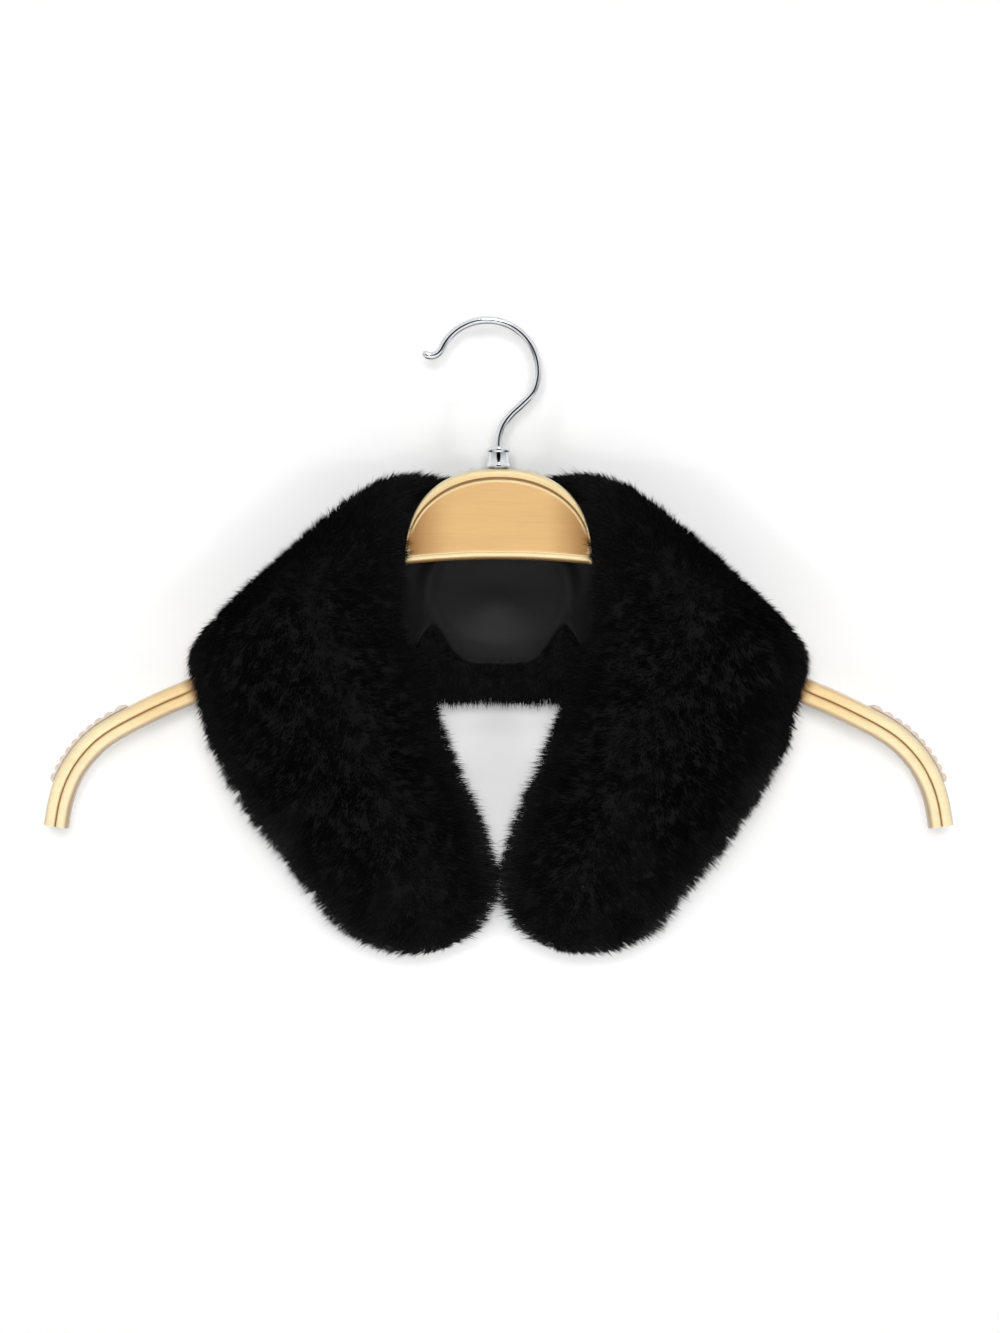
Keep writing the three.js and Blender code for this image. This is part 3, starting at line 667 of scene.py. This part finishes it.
def tufted_pile(name, place, side, strands, seed, material, replaced):
    """Tufts of tapered strands that stand on the undercoat and reach the pile's surface."""
    rng = np.random.default_rng(seed)
    tips = close_ring(pile_rings(place, side))
    roots = close_ring(pile_rings(place, side, SHELL_INSET))
    columns = tips.shape[1] - 1
    keep = np.ones(columns)
    bed_start = PILE_SPANS + TURNED_SPANS
    keep[bed_start : bed_start + BED_SPANS] = 0
    tufts = strands // STRANDS_PER_TUFT
    row, col = scatter(tips, keep, tufts, rng)
    foot = sample(roots, row, col)
    stand = sample(tips, row, col) - foot
    length = np.linalg.norm(stand, axis=1, keepdims=True)
    up = stand / np.maximum(length, 1e-9)
    edge = sample(edge_shares(place, columns + 1)[..., None], row, col)[:, 0]

    def beside(vectors):
        return vectors - np.sum(vectors * up, axis=1, keepdims=True) * up

    down = beside(np.tile([0.0, 0.0, -1.0], (tufts, 1)))
    drift = beside(rng.normal(size=(tufts, 3)))
    brushed = patches(foot, BRUSHED_PATCH, rng)[:, None] - 0.5
    sideways = unit(np.cross(up, down + 1e-6)) * brushed
    reach = length + OVERREACH
    tuft_tip = foot + up * reach * (1 + LENGTH_SPREAD * rng.normal(size=(tufts, 1)))
    tuft_tip += reach * (NAP * down + TUFT_SPREAD * drift + BRUSHED_LEAN * sideways)

    per = STRANDS_PER_TUFT
    count = tufts * per
    one = np.repeat(np.arange(tufts), per)
    u = unit(np.cross(up, rng.normal(size=(tufts, 3))))
    v = np.cross(up, u)
    radius = TUFT_RADIUS * np.sqrt(rng.random((count, 1)))
    angle = rng.random((count, 1)) * 2 * math.pi
    offset = radius * (np.cos(angle) * u[one] + np.sin(angle) * v[one])
    base = foot[one] + offset - ROOT_DEPTH * up[one]
    guard = rng.random((count, 1)) < GUARD_HAIRS
    long = np.where(guard, GUARD_LENGTH, 1 - SHORTENED * rng.random((count, 1)) ** 2)
    tip = base + (tuft_tip[one] - foot[one] + (TUFT_GATHER - 1) * offset + ROOT_DEPTH * up[one]) * long
    tip += STRAND_SPREAD * reach[one] * rng.normal(size=(count, 3))
    middle = base + BEND_AT * (tip - base) + BEND_OUT * reach[one] * up[one]
    # The flat side of a strand looks out of the coat, a little to either side.
    flat = unit(np.cross(unit(tip - base), up[one] + FLAT_SCATTER * rng.normal(size=(count, 3))))
    half = STRAND_WIDTH / 2 * (0.75 + 0.5 * rng.random((count, 1))) * np.where(guard, GUARD_WIDTH, 1)
    wide, bent = half * flat, BEND_WIDTH * half * flat
    points = np.stack([base - wide, base + wide, middle - bent, middle + bent, tip], axis=1)
    # Each tuft's uneven tone and painted light, for the material.
    light = tuft_tone_and_painted_light(foot, edge, rng)
    dressed(name, strand_mesh(name, points, np.repeat(light, per)), material, replaced)


def tuft_tone_and_painted_light(foot, edge, rng):
    """How light each tuft is: an uneven tone, and painted light towards the edges, in patches low on the
    fronts, at the ends and on the shoulders.
    """
    below = -foot[:, 2]
    low = ramp(below, *FRONTS)
    light = TUFT_TONE_AND_PAINTED_LIGHT["least"] + TUFT_TONE_AND_PAINTED_LIGHT["uneven"] * rng.random(len(foot)) + TUFT_TONE_AND_PAINTED_LIGHT["outward"] * ramp(edge, 0.2, 0.5)
    light += (TUFT_TONE_AND_PAINTED_LIGHT["edge"] + MORE_PAINTED_LIGHT_ON_FRONTS["edge"] * low) * ramp(edge, 0.6, 0.4)
    light += (TUFT_TONE_AND_PAINTED_LIGHT["patch"] + MORE_PAINTED_LIGHT_ON_FRONTS["patch"] * low) * patches(foot, PAINTED_LIGHT_PATCH, rng) ** 3
    return light + PAINTED_LIGHT_AT["end"] * ramp(below, *ENDS) + PAINTED_LIGHT_AT["shoulder"] * ramp(-below, *SHOULDERS)


def close_ring(rings):
    """Rings with their first point repeated at the end, so that a grid closes."""
    return np.concatenate([rings, rings[:, :1]], axis=1)


STRAND_POINTS = 5
FOOT_FACE, TIP_FACE = [0, 1, 3, 2], [2, 3, 4]


def strand_mesh(name, points, tone_and_painted_light):
    """A mesh of five-point strands: a four-sided foot and a three-sided tip, with tip values and each tuft's
    tone and painted light.
    """
    count = len(points)
    mesh = bpy.data.meshes.new(name)
    mesh.vertices.add(count * STRAND_POINTS)
    mesh.vertices.foreach_set("co", (points * MM).astype(np.float32).ravel())
    each = FOOT_FACE + TIP_FACE
    corners = np.arange(count)[:, None] * STRAND_POINTS + each
    mesh.loops.add(count * len(each))
    mesh.loops.foreach_set("vertex_index", corners.astype(np.int32).ravel())
    loop_start = np.arange(count)[:, None] * len(each) + [0, len(FOOT_FACE)]
    mesh.polygons.add(count * 2)
    mesh.polygons.foreach_set("loop_start", loop_start.astype(np.int32).ravel())
    mesh.update(calc_edges=True)
    hold_numbers(mesh, {"tip": np.tile([0, 0, 0.5, 0.5, 1.0], count), "tone_and_painted_light": np.repeat(tone_and_painted_light, STRAND_POINTS)})
    return mesh


BACK_PLACES = np.linspace(0, SEAM_ROW, 16)
SIDE_PLACES = np.concatenate(
    [
        np.linspace(SEAM_ROW + SEAM_GAP_ROWS, 3, 14),
        np.linspace(3, 5, 30)[1:],
        np.linspace(5, LAST, 70)[1:],
        LAST + np.linspace(0, 1, 22)[1:],
    ]
)
FOLD_ROW = 4.0


def undercoat_rings(place, side):
    """The surface of the dense undercoat and skin, a closed shell under the strands."""
    return pile_rings(place, side, SHELL_INSET - UNDERCOAT_RAISED)


def collar_fur():
    plush = plush_material()
    dense = undercoat_material()
    back = both_sides(undercoat_rings(BACK_PLACES, 1))
    bed = slice(PILE_SPANS + TURNED_SPANS, PILE_SPANS + TURNED_SPANS + BED_SPANS + 1)
    back[:, bed] = creased(back[:, bed])
    ring_body("undercoat_back", back, dense, ("fur_back",))
    behind = SIDE_PLACES[SIDE_PLACES <= FOLD_ROW + 0.05]
    before = SIDE_PLACES[len(behind) - 1 :]
    for side, hand in ((-1, "left"), (1, "right")):
        tufted_pile(f"pile_back_{hand}", BACK_PLACES, side, BACK_STRANDS, SEED + side, plush, ())
        ring_body(f"undercoat_{hand}", undercoat_rings(SIDE_PLACES, side), dense)
        tufted_pile(f"pile_shoulder_{hand}", behind, side, SHOULDER_STRANDS, SEED + 10 + side, plush, ())
        replaced = (f"fur_{hand}",)
        tufted_pile(f"pile_front_{hand}", before, side, FRONT_STRANDS, SEED + 20 + side, plush, replaced)


def both_sides(rings):
    """Rings of one half, mirrored to the other side and joined into one run."""
    mirrored = rings[1:][::-1].copy()
    mirrored[..., 0] *= -1
    return np.concatenate([mirrored, rings])


# Satin lining

LINING_SPANS = 32
LINING_END = LAST + 0.58
SATIN_THICKNESS = 0.0008
# The satin's lift off the hanger: in the middle, and how much more at its two hems, and their width.
SATIN_LIFT = 0.1
HEM_LIFT = 0.9
HEM_WIDTH = 3.5


def satin_lining():
    """One thin strip of satin from end to end, with the hem's soft fold and creases at the back neck."""
    place = np.concatenate(
        [np.linspace(0, 3, 50), np.linspace(3, 5, 30)[1:], np.linspace(5, LINING_END, 50)[1:]]
    )
    cross = sections(place)
    share = np.linspace(0, 1, LINING_SPANS + 1)[None, :]
    offset = cross["lining_outer"] + (cross["lining_neck"] - cross["lining_outer"]) * share
    # The two edges are tucked under the turned-in fur.
    edge = np.minimum(share, 1 - share) * (cross["lining_outer"] - cross["lining_neck"])
    lift = SATIN_LIFT + HEM_LIFT * (1 - soft_step(edge / HEM_WIDTH))
    inner = creased(both_sides(place_on(cross, offset, lift, 1)))
    faces = grid_faces(*inner.shape[:2], False)
    lining = plain_mesh("lining_satin", inner.reshape(-1, 3), faces, satin_material(), ("lining",))
    thick = lining.modifiers.new("cloth", "SOLIDIFY")
    thick.thickness = SATIN_THICKNESS
    thick.offset = 0


# The satin sinks into a bowl behind the neck, with a soft ridge round it that fades out under the head.
BOWL = {"center": (0, -130), "half_width": 34, "half_height": 29, "depth": 4.2}
BOWL_RIDGE = {"at": 1.04, "width": 0.12, "height": 2.6}
# Where the creases, the ridge and the folds begin, and the run over which they grow.
BEHIND_NECK = (4, 4)
RIDGE_BELOW = (104, 14)
RIDGE_BESIDE = (14, 16)
FOLDS_BELOW = (112, 14)
# Shallow folds that run down beside the bowl: x, slant, width and height.
SIDE_FOLDS = [(41, 0.28, 3.2, 0.9), (49, 0.2, 3.6, -0.8)]


def creased(points):
    """Points of the lining, or of the bed behind it, sunk and raised by the satin's bowl, ridge and folds."""
    x, z = points[..., 0], points[..., 2]
    back = ramp(points[..., 1], *BEHIND_NECK)
    across, up = (x - BOWL["center"][0]) / BOWL["half_width"], (z - BOWL["center"][1]) / BOWL["half_height"]
    away = np.hypot(across, up)
    sunk = BOWL["depth"] * np.clip(1 - away**2, 0, 1) ** 2
    ridge = BOWL_RIDGE["height"] * np.exp(-(((away - BOWL_RIDGE["at"]) / BOWL_RIDGE["width"]) ** 2))
    change = sunk - ridge * ramp(-z, *RIDGE_BELOW) * ramp(np.abs(x), *RIDGE_BESIDE)
    for fold_x, slant, width, height in SIDE_FOLDS:
        beside = (np.abs(x) - fold_x - slant * (z + 135)) / width
        change -= height * np.exp(-(beside**2)) * ramp(-z, *FOLDS_BELOW)
    moved = points.copy()
    moved[..., 1] += change * back
    return moved


# Hanger

HEAD_HALF_WIDTH, HEAD_TOP, HEAD_CORNER, HEAD_BOTTOM = 45.8, -70.6, -117.5, -115.0
HEAD_SQUARENESS = 2.42
GROOVE_HALF_WIDTH, GROOVE_TOP, GROOVE_SQUARENESS = 45.5, -75.6, 2.08
# The rim fades into the lip where it gets this narrow, over this run.
RIM_FADES = (0.6, 2.2)
# Where the painted shade of the groove begins between rim and face, and the painted shade on the lip's
# underside ends, as shares and runs.
GROOVE_FROM = (0.82, 0.06)
GROOVE_UNTIL = (0.25, 0.5)
UNDERSIDE_UNTIL = (0.26, 0.14)
# How far in from the groove the face keeps a pale line, a painted highlight along the groove's edge.
PALE_INSET = 1.7
LIP_WIDTH = 3.7
RIM_LAYERS = [
    # share of the way from the outer edge to the groove and to the lip's end, depth on the rim and the lip
    [0.0, 2.4, 2.4], [0.02, 4.0, 4.4], [0.07, 5.4, 5.6], [0.16, 6.3, 6.4], [0.3, 6.9, 6.9],
    [0.45, 7.15, 7.15], [0.6, 7.2, 7.2], [0.75, 7.1, 7.1], [0.83, 6.95, 6.85], [0.88, 6.6, 6.5],
    [0.92, 6.3, 6.3], [1.0, 6.2, 6.2],
]
FACE_LAYERS = [
    # inset from the groove, depth below the groove and above the lip
    [0.3, 6.25, 6.3], [0.6, 6.6, 6.45], [0.95, 6.9, 6.55], [1.4, 6.95, 6.6], [2.0, 6.8, 6.6],
    [2.8, 6.65, 6.65], [5.0, 6.65, 6.7], [9.0, 6.75, 6.75], [13.0, 6.8, 6.8],
]
HEAD_ARC, HEAD_BASE = 112, 56


def dome(half_width, top, corner, squareness):
    """The head's round contour from one lower corner to the other, with the arched base after it."""
    power = 2 / squareness
    angle = np.linspace(0, math.pi, HEAD_ARC + 1)
    cos, sin = np.cos(angle), np.abs(np.sin(angle))
    share = np.linspace(-1, 1, HEAD_BASE + 1)[1:-1]
    x = np.concatenate([half_width * np.sign(cos) * np.abs(cos) ** power, share * half_width])
    arch = corner + (HEAD_BOTTOM - HEAD_CORNER) * (1 - share**2)
    z = np.concatenate([corner + (top - corner) * sin**power, arch])
    return x, z


def head_layers():
    """The head's contours from the outer edge in, as x, z, depth, a mask for the pale rim and lip, which is a
    painted highlight, and a mask of painted shade for the groove and the lip's underside.
    """
    outer = np.array(dome(HEAD_HALF_WIDTH, HEAD_TOP, HEAD_CORNER, HEAD_SQUARENESS))
    inner = np.array(dome(GROOVE_HALF_WIDTH, GROOVE_TOP, HEAD_CORNER + LIP_WIDTH, GROOVE_SQUARENESS))
    lift = ramp(np.hypot(*(outer - inner)), *RIM_FADES)
    lift[HEAD_ARC + 1 :] = 0
    for share, rim, lip in RIM_LAYERS:
        x, z = outer + (inner - outer) * share
        painted_shade = lift * ramp(share, *GROOVE_FROM)
        painted_shade[HEAD_ARC + 1 :] = 0.95 * (1 - ramp(share, *UNDERSIDE_UNTIL))
        # The rim and the lip are painted pale as a highlight, less so on the rim's inner slope.
        paleness = 1 - 0.55 * ramp(share, 0.35, 0.5) * lift
        yield x, z, lip + (rim - lip) * lift, paleness, painted_shade
    for inset, upper, lower in FACE_LAYERS:
        x, z = dome(
            GROOVE_HALF_WIDTH - inset * 1.15,
            GROOVE_TOP - inset,
            HEAD_CORNER + LIP_WIDTH + inset,
            GROOVE_SQUARENESS,
        )
        painted_shade = lift * (1 - ramp(inset, *GROOVE_UNTIL))
        # A pale line just inside the groove, a painted highlight.
        paleness = 0.8 * lift if inset < PALE_INSET else 0 * lift
        yield x, z, lower + (upper - lower) * lift, paleness, painted_shade


def hanger_head(wood):
    layers = np.array([np.stack(layer) for layer in head_layers()])
    x, z, depth, rim, painted_shade = np.moveaxis(np.concatenate([layers[::-1], layers]), 1, 0)
    depth[: len(layers)] *= -1
    values = {"rim": rim, "painted_shade": painted_shade}
    ring_body("head_wood", np.stack([x, depth, z], axis=-1), wood, ("hanger_head",), values=values)


ARM_HALF_DEPTH = 6.8
ARM_ROWS = [
    # x, z, half the height, tilt in degrees
    [46.1, -107.6, 6.2, 0], [55, -114.8, 6.4, 30], [66, -125.2, 6.3, 38], [80, -135.9, 6.2, 36],
    [100, -149.4, 6.2, 33], [120, -161.3, 6.2, 31], [138, -172.3, 6.2, 30], [151, -179.8, 6.2, 27],
    [163, -185, 6.2, 25], [174.4, -190.4, 6.2, 26], [187, -197, 6.2, 31], [196, -203, 6.2, 39],
    [203, -209.8, 6.2, 49], [208.6, -217.4, 6.1, 58], [212.8, -226, 6.1, 66], [215.6, -235.4, 6, 74],
    [217.4, -246.3, 6, 81],
]
ARM_QUARTER = [
    # share of the half height and of the half depth, from the top edge to the groove
    [1.0, 0.0], [1.0, 0.2], [0.99, 0.4], [0.955, 0.58], [0.9, 0.73], [0.82, 0.85], [0.72, 0.94],
    [0.6, 0.985], [0.48, 1.0], [0.35, 1.0], [0.24, 0.985], [0.15, 0.95], [0.1, 0.9], [0.07, 0.82],
    [0.03, 0.79], [0.0, 0.79],
]


def arm_frame(row):
    """The arm's middle, the way up across it, and half its height, at fractional rows."""
    table = np.array(ARM_ROWS, float)
    index = np.minimum(row.astype(int), len(table) - 2)
    t = (row - index)[:, None]
    last = len(table) - 1
    before, after = table[np.maximum(index - 1, 0)], table[np.minimum(index + 2, last)]
    at = through(before, table[index], table[index + 1], after, t)
    tilt = np.radians(at[:, 3])
    zero = np.zeros(len(row))
    middle = np.stack([at[:, 0], zero, at[:, 1]], axis=1)
    up = np.stack([np.sin(tilt), zero, np.cos(tilt)], axis=1)
    return middle, up, at[:, 2:3]


ARM_START = 0.35
# Where the arm comes out of the fur, in a dark contact shade.
FUR_MEETS_ARM = 154.0
CONTACT_FADE = 5
ARM_BEVEL = 0.0006


def hanger_arm(hand, side, wood):
    quarter = np.array(ARM_QUARTER)
    lower = quarter[::-1][1:] * [-1, 1]
    front = np.concatenate([quarter, lower])
    back = front[::-1][1:-1] * [1, -1]
    section = np.concatenate([front, back])
    rows = np.linspace(ARM_START, len(ARM_ROWS) - 1, 110)
    middle, up, half = arm_frame(rows)
    rings = middle[:, None, :] + (up * half)[:, None, :] * section[None, :, :1]
    rings[..., 1] -= ARM_HALF_DEPTH * section[None, :, 1]
    rings[..., 0] *= side
    # Painted shade in the arm's groove, and the painted contact shade where the arm comes out of the fur.
    in_groove = np.clip((0.09 - np.abs(section[:, 0])) / 0.05, 0, 1)[None, :]
    at_fur = soft_step((FUR_MEETS_ARM - middle[:, :1]) / CONTACT_FADE)
    up_share = section[:, 0]
    # The arm is palest across its middle, a little darker at the top edge, and painted shade along its lower
    # side.
    paleness = 1 - 0.9 * ramp(-up_share, 0.62, 0.3) - 0.35 * ramp(up_share, 0.7, 0.3)
    values = {
        "rim": np.tile(paleness, (len(rows), 1)),
        "painted_shade": np.maximum(in_groove, 0.9 * at_fur + 0 * in_groove),
    }
    arm = ring_body(f"arm_{hand}_wood", rings, wood, (f"arm_{hand}",), values=values)
    bevel = arm.modifiers.new("rounded end", "BEVEL")
    bevel.width = ARM_BEVEL
    bevel.segments = 3
    bevel.limit_method = "ANGLE"
    bevel.angle_limit = math.radians(60)


GRIP_FROM, GRIP_TO, GRIP_RIBS = 9.4, 14.1, 10
GRIP_BASE, GRIP_RIB, GRIP_HALF_WIDTH = 0.7, 1.5, 2.6
GRIP_STANDOFF = 0.1
GRIP_STEPS = 10


def grip_strip(hand, side, rubber):
    steps = GRIP_RIBS * GRIP_STEPS
    rows = np.linspace(GRIP_FROM, GRIP_TO, steps + 1)
    middle, up, half = arm_frame(rows)
    phase = (np.arange(steps + 1) % GRIP_STEPS) / GRIP_STEPS
    rib = np.sin(math.pi * phase) ** 0.7
    foot = half[:, 0] + GRIP_STANDOFF
    top = foot + GRIP_BASE + GRIP_RIB * rib
    shape = [(0, -1), (0.7, -1), (0.93, -0.86), (1, -0.5), (1, 0), (1, 0.5), (0.93, 0.86), (0.7, 1), (0, 1)]
    rise, out = np.transpose(shape)
    height = foot[:, None] + (top - foot)[:, None] * rise
    rings = middle[:, None] + up[:, None] * height[..., None]
    rings[..., 1] = GRIP_HALF_WIDTH * out
    rings[..., 0] *= side
    ring_body(f"grip_{hand}_rubber", rings, rubber, (f"grip_{hand}",))


WIRE_RADIUS = 1.95
BOW_MIDDLE = (-5.6, -22.46)
BOW_RADIUS = 25.1
BOW_FROM, BOW_TO = 156, -8
HOOK_TIP = [(-37.2, -12.6), (-35.2, -14.6), (-32.6, -14.9), (-30.4, -14.1)]
HOOK_SHANK = [
    (17.2, -32.4), (11.6, -38.6), (6.2, -43.6), (2.4, -48.6), (0.4, -54.4), (0, -61), (0, -76), (0, -92),
]
HOOK_SIDES = 24
HOOK_STEPS = 220
CURVE_STEPS = 24
TIP_RINGS, TIP_SMALLEST = 5, 0.12


def toward(p, q, t, start, end):
    """The point reached at t on a straight way from p at the start to q at the end."""
    return p + (q - p) * (t - start) / (end - start)


def smooth_path(points, count):
    """Even points on a centripetal curve through chosen points."""
    points = np.asarray(points, float)
    ends = np.array([2 * points[0] - points[1], 2 * points[-1] - points[-2]])
    full = np.concatenate([ends[:1], points, ends[1:]])
    found = []
    for p0, p1, p2, p3 in zip(full[:-3], full[1:-2], full[2:-1], full[3:]):
        spans = [math.sqrt(np.linalg.norm(b - a)) for a, b in ((p0, p1), (p1, p2), (p2, p3))]
        k0, k1, k2, k3 = np.cumsum([0, *spans])
        for t in np.linspace(k1, k2, CURVE_STEPS, endpoint=False):
            a1, a2, a3 = toward(p0, p1, t, k0, k1), toward(p1, p2, t, k1, k2), toward(p2, p3, t, k2, k3)
            found.append(toward(toward(a1, a2, t, k0, k2), toward(a2, a3, t, k1, k3), t, k1, k2))
    found.append(points[-1])
    found = np.array(found)
    length = np.concatenate([[0], np.cumsum(np.linalg.norm(np.diff(found, axis=0), axis=1))])
    even = np.linspace(0, length[-1], count)
    return np.stack([np.interp(even, length, found[:, i]) for i in range(found.shape[1])], axis=1)


def chrome_hook(chrome):
    angles = np.radians(np.linspace(BOW_FROM, BOW_TO, 16))
    bow = [
        (BOW_MIDDLE[0] + BOW_RADIUS * math.cos(angle), BOW_MIDDLE[1] + BOW_RADIUS * math.sin(angle))
        for angle in angles
    ]
    path = smooth_path([*HOOK_TIP, *bow, *HOOK_SHANK], HOOK_STEPS)
    ahead = unit(np.gradient(path, axis=0))
    normal = np.stack([-ahead[:, 1], ahead[:, 0]], axis=1)
    turn = np.linspace(0, 2 * math.pi, HOOK_SIDES, endpoint=False)
    radius = np.full(HOOK_STEPS, WIRE_RADIUS)
    rounded = np.sqrt(1 - np.linspace(1, 0, TIP_RINGS) ** 2)
    radius[:TIP_RINGS] = WIRE_RADIUS * np.maximum(rounded, TIP_SMALLEST)
    rings = np.zeros((HOOK_STEPS, HOOK_SIDES, 3))
    rings[..., 0] = path[:, :1] + radius[:, None] * np.cos(turn) * normal[:, :1]
    rings[..., 2] = path[:, 1:] + radius[:, None] * np.cos(turn) * normal[:, 1:]
    rings[..., 1] = radius[:, None] * np.sin(turn)
    ring_body("hook_chrome", rings, chrome, ("hook",))


FERRULE_PROFILE = [
    # radius, height
    [2.25, -70.2], [5.4, -70.2], [5.8, -70.0], [5.9, -69.6], [5.9, -68.9], [5.75, -68.5], [5.3, -68.1],
    [5.2, -67.8], [5.2, -62.6], [5.3, -62.2], [5.55, -61.8], [5.6, -61.4], [5.55, -60.6], [5.3, -60.1],
    [4.8, -59.75], [4.2, -59.6], [2.6, -59.6], [2.3, -59.8],
]
FERRULE_SIDES = 64


def chrome_ferrule(chrome):
    profile = np.array(FERRULE_PROFILE)
    turn = np.linspace(0, 2 * math.pi, FERRULE_SIDES, endpoint=False)
    rings = np.zeros((FERRULE_SIDES, len(profile), 3))
    rings[..., 0] = np.cos(turn)[:, None] * profile[:, 0]
    rings[..., 1] = np.sin(turn)[:, None] * profile[:, 0]
    rings[..., 2] = profile[:, 1]
    closed = np.concatenate([rings, rings[:1]])
    rows, columns = closed.shape[:2]
    total = FERRULE_SIDES * columns
    faces = [tuple(index % total for index in face) for face in grid_faces(rows, columns, True)]
    piece = plain_mesh("ferrule_chrome", rings.reshape(-1, 3), faces, chrome, ("ferrule",))
    turn_outward(piece.data)


def hanger():
    # The pale rim colour is a painted highlight on the head's rim and lip.
    rim = linear(232, 212, 163)
    # The last colour is painted shade towards the sides of the head's face.
    wood = golden_wood_material("golden wood", linear(212, 172, 116), rim, rim, linear(144, 98, 46))
    # The arms' face colour is the painted shade on their lower side.
    shaded = linear(150, 124, 92)
    pale_wood = golden_wood_material(
        "pale golden wood", shaded, linear(230, 200, 148), linear(236, 218, 176), shaded
    )
    rubber = clear_rubber_material()
    chrome = chrome_material()
    hanger_head(wood)
    for side, hand in ((-1, "left"), (1, "right")):
        hanger_arm(hand, side, pale_wood)
        grip_strip(hand, side, rubber)
    chrome_hook(chrome)
    chrome_ferrule(chrome)


# Stage, light and camera, in metres

WALL_DISTANCE = 0.045
WALL_TOP = 2.2
WALL_HALF_WIDTH = 3
FLOOR_HEIGHT = -0.62
FLOOR_FRONT = -2.6
BEND = 0.25
BEND_STEPS = 12
EYE = (0.0007, -1.6, -0.1677)
FRAME_HEIGHT = 0.6555
SENSOR = 36.0


def stage():
    """A white wall close behind and a pale floor, in one sweep."""
    profile = [(FLOOR_FRONT, FLOOR_HEIGHT)]
    for angle in np.linspace(0, math.pi / 2, BEND_STEPS + 1).tolist():
        out, up = BEND * (1 - math.sin(angle)), BEND * (1 - math.cos(angle))
        profile.append((WALL_DISTANCE - out, FLOOR_HEIGHT + up))
    profile.append((WALL_DISTANCE, WALL_TOP))
    points = [(x, y, z) for y, z in profile for x in (-WALL_HALF_WIDTH, WALL_HALF_WIDTH)]
    faces = [(2 * k, 2 * k + 1, 2 * k + 3, 2 * k + 2) for k in range(len(profile) - 1)]
    mesh = bpy.data.meshes.new("wall_and_floor")
    mesh.from_pydata(points, [], faces)
    mesh.polygons.foreach_set("use_smooth", [True] * len(faces))
    mesh.materials.append(wall_material())
    wall = placed("wall_and_floor", mesh)
    wall.visible_shadow = False


def area_light(name, place, size, power):
    """A square or oblong light that looks at the collar's middle."""
    data = bpy.data.lights.new(name, "AREA")
    data.shape = "RECTANGLE"
    data.size, data.size_y = size
    data.energy = power
    light = placed(name, data)
    light.location = place
    direction = np.array(LIT_POINT) - np.array(place)
    light.rotation_mode = "QUATERNION"
    light.rotation_quaternion = Vector(direction).to_track_quat("-Z", "Y")
    return light


FRONT_LIGHTS = [
    # name, place, size, power, and whether glossy things show it, or only they do
    ("glint_high", (0.1, -1.6, 0.95), (0.3, 0.25), 7.5, True),
    ("front_high", (0.0, -1.7, 0.6), (0.4, 0.3), 3, False),
    ("front_level", (0.0, -1.8, -0.05), (0.35, 0.35), 19.1, False),
    ("side_left", (-0.92, -1.5, -0.42), (0.25, 0.25), 3.4, False),
    ("side_right", (0.92, -1.5, -0.42), (0.25, 0.25), 3.4, False),
]
LIT_POINT = (0, 0, -0.17)
REAR_POWER = 12


def lights():
    for name, place, size, power, glossy in FRONT_LIGHTS:
        light = area_light(name, place, size, power)
        light.visible_glossy = glossy
        light.visible_diffuse = not glossy
    for name, x in (("rear_left", -0.9), ("rear_right", 0.9)):
        area_light(name, (x, 1.3, 0.6), (1.0, 1.0), REAR_POWER)


# How strongly the room lights the scene, and how bright it is to look at.
ROOM_LIGHT = 0.12
ROOM_SEEN = 0.8
# What glossy things see of the room: light above, dimmer below, and a dark doorway behind the camera.
SHOWN_LIGHT = {"above": 1.0, "below": 0.45, "from": -0.35, "to": 0.35}
DARK_DOORWAY = {"inner": 0.96, "outer": 0.88}


def room():
    """A white room, whose polished reflections show a light ceiling and a dark doorway."""
    world = bpy.data.worlds.new("white room")
    bpy.context.scene.world = world
    world.use_nodes = True
    tree = world.node_tree
    direction = node(tree, "ShaderNodeTexCoord").outputs["Generated"]
    split = node(tree, "ShaderNodeSeparateXYZ", {0: direction})
    light, door = SHOWN_LIGHT, DARK_DOORWAY
    limits = (light["below"], light["above"], light["from"], light["to"])
    height = mapped(tree, split.outputs["Z"], *limits, kind="SMOOTHSTEP")
    behind = calculated(tree, "MULTIPLY", split.outputs["Y"], -1.0)
    beside_door = mapped(tree, behind, 1.0, 0.0, door["outer"], door["inner"], kind="SMOOTHSTEP")
    shown = calculated(tree, "MULTIPLY", height, beside_door)
    ray = node(tree, "ShaderNodeLightPath")
    seen = mapped(tree, ray.outputs["Is Camera Ray"], ROOM_LIGHT, ROOM_SEEN)
    strength = mapped(tree, ray.outputs["Is Glossy Ray"], seen, shown)
    background = tree.nodes["Background"]
    background.inputs[0].default_value = (1, 1, 1, 1)
    tree.links.new(strength, background.inputs[1])


def camera():
    data = bpy.data.cameras.new("camera")
    data.sensor_width = SENSOR
    data.lens = SENSOR * -EYE[1] / FRAME_HEIGHT
    eye = placed("camera", data)
    eye.location = EYE
    eye.rotation_euler = (math.radians(90), 0, 0)
    bpy.context.scene.camera = eye


def plain_colours():
    """Shows light values as they are, so that white stays white."""
    shown = bpy.context.scene.view_settings
    shown.view_transform = "Standard"
    shown.look = "None"


def main():
    camera()
    plain_colours()
    stage()
    lights()
    room()
    collar_fur()
    satin_lining()
    hanger()


main()

bpy.context.view_layer.update()
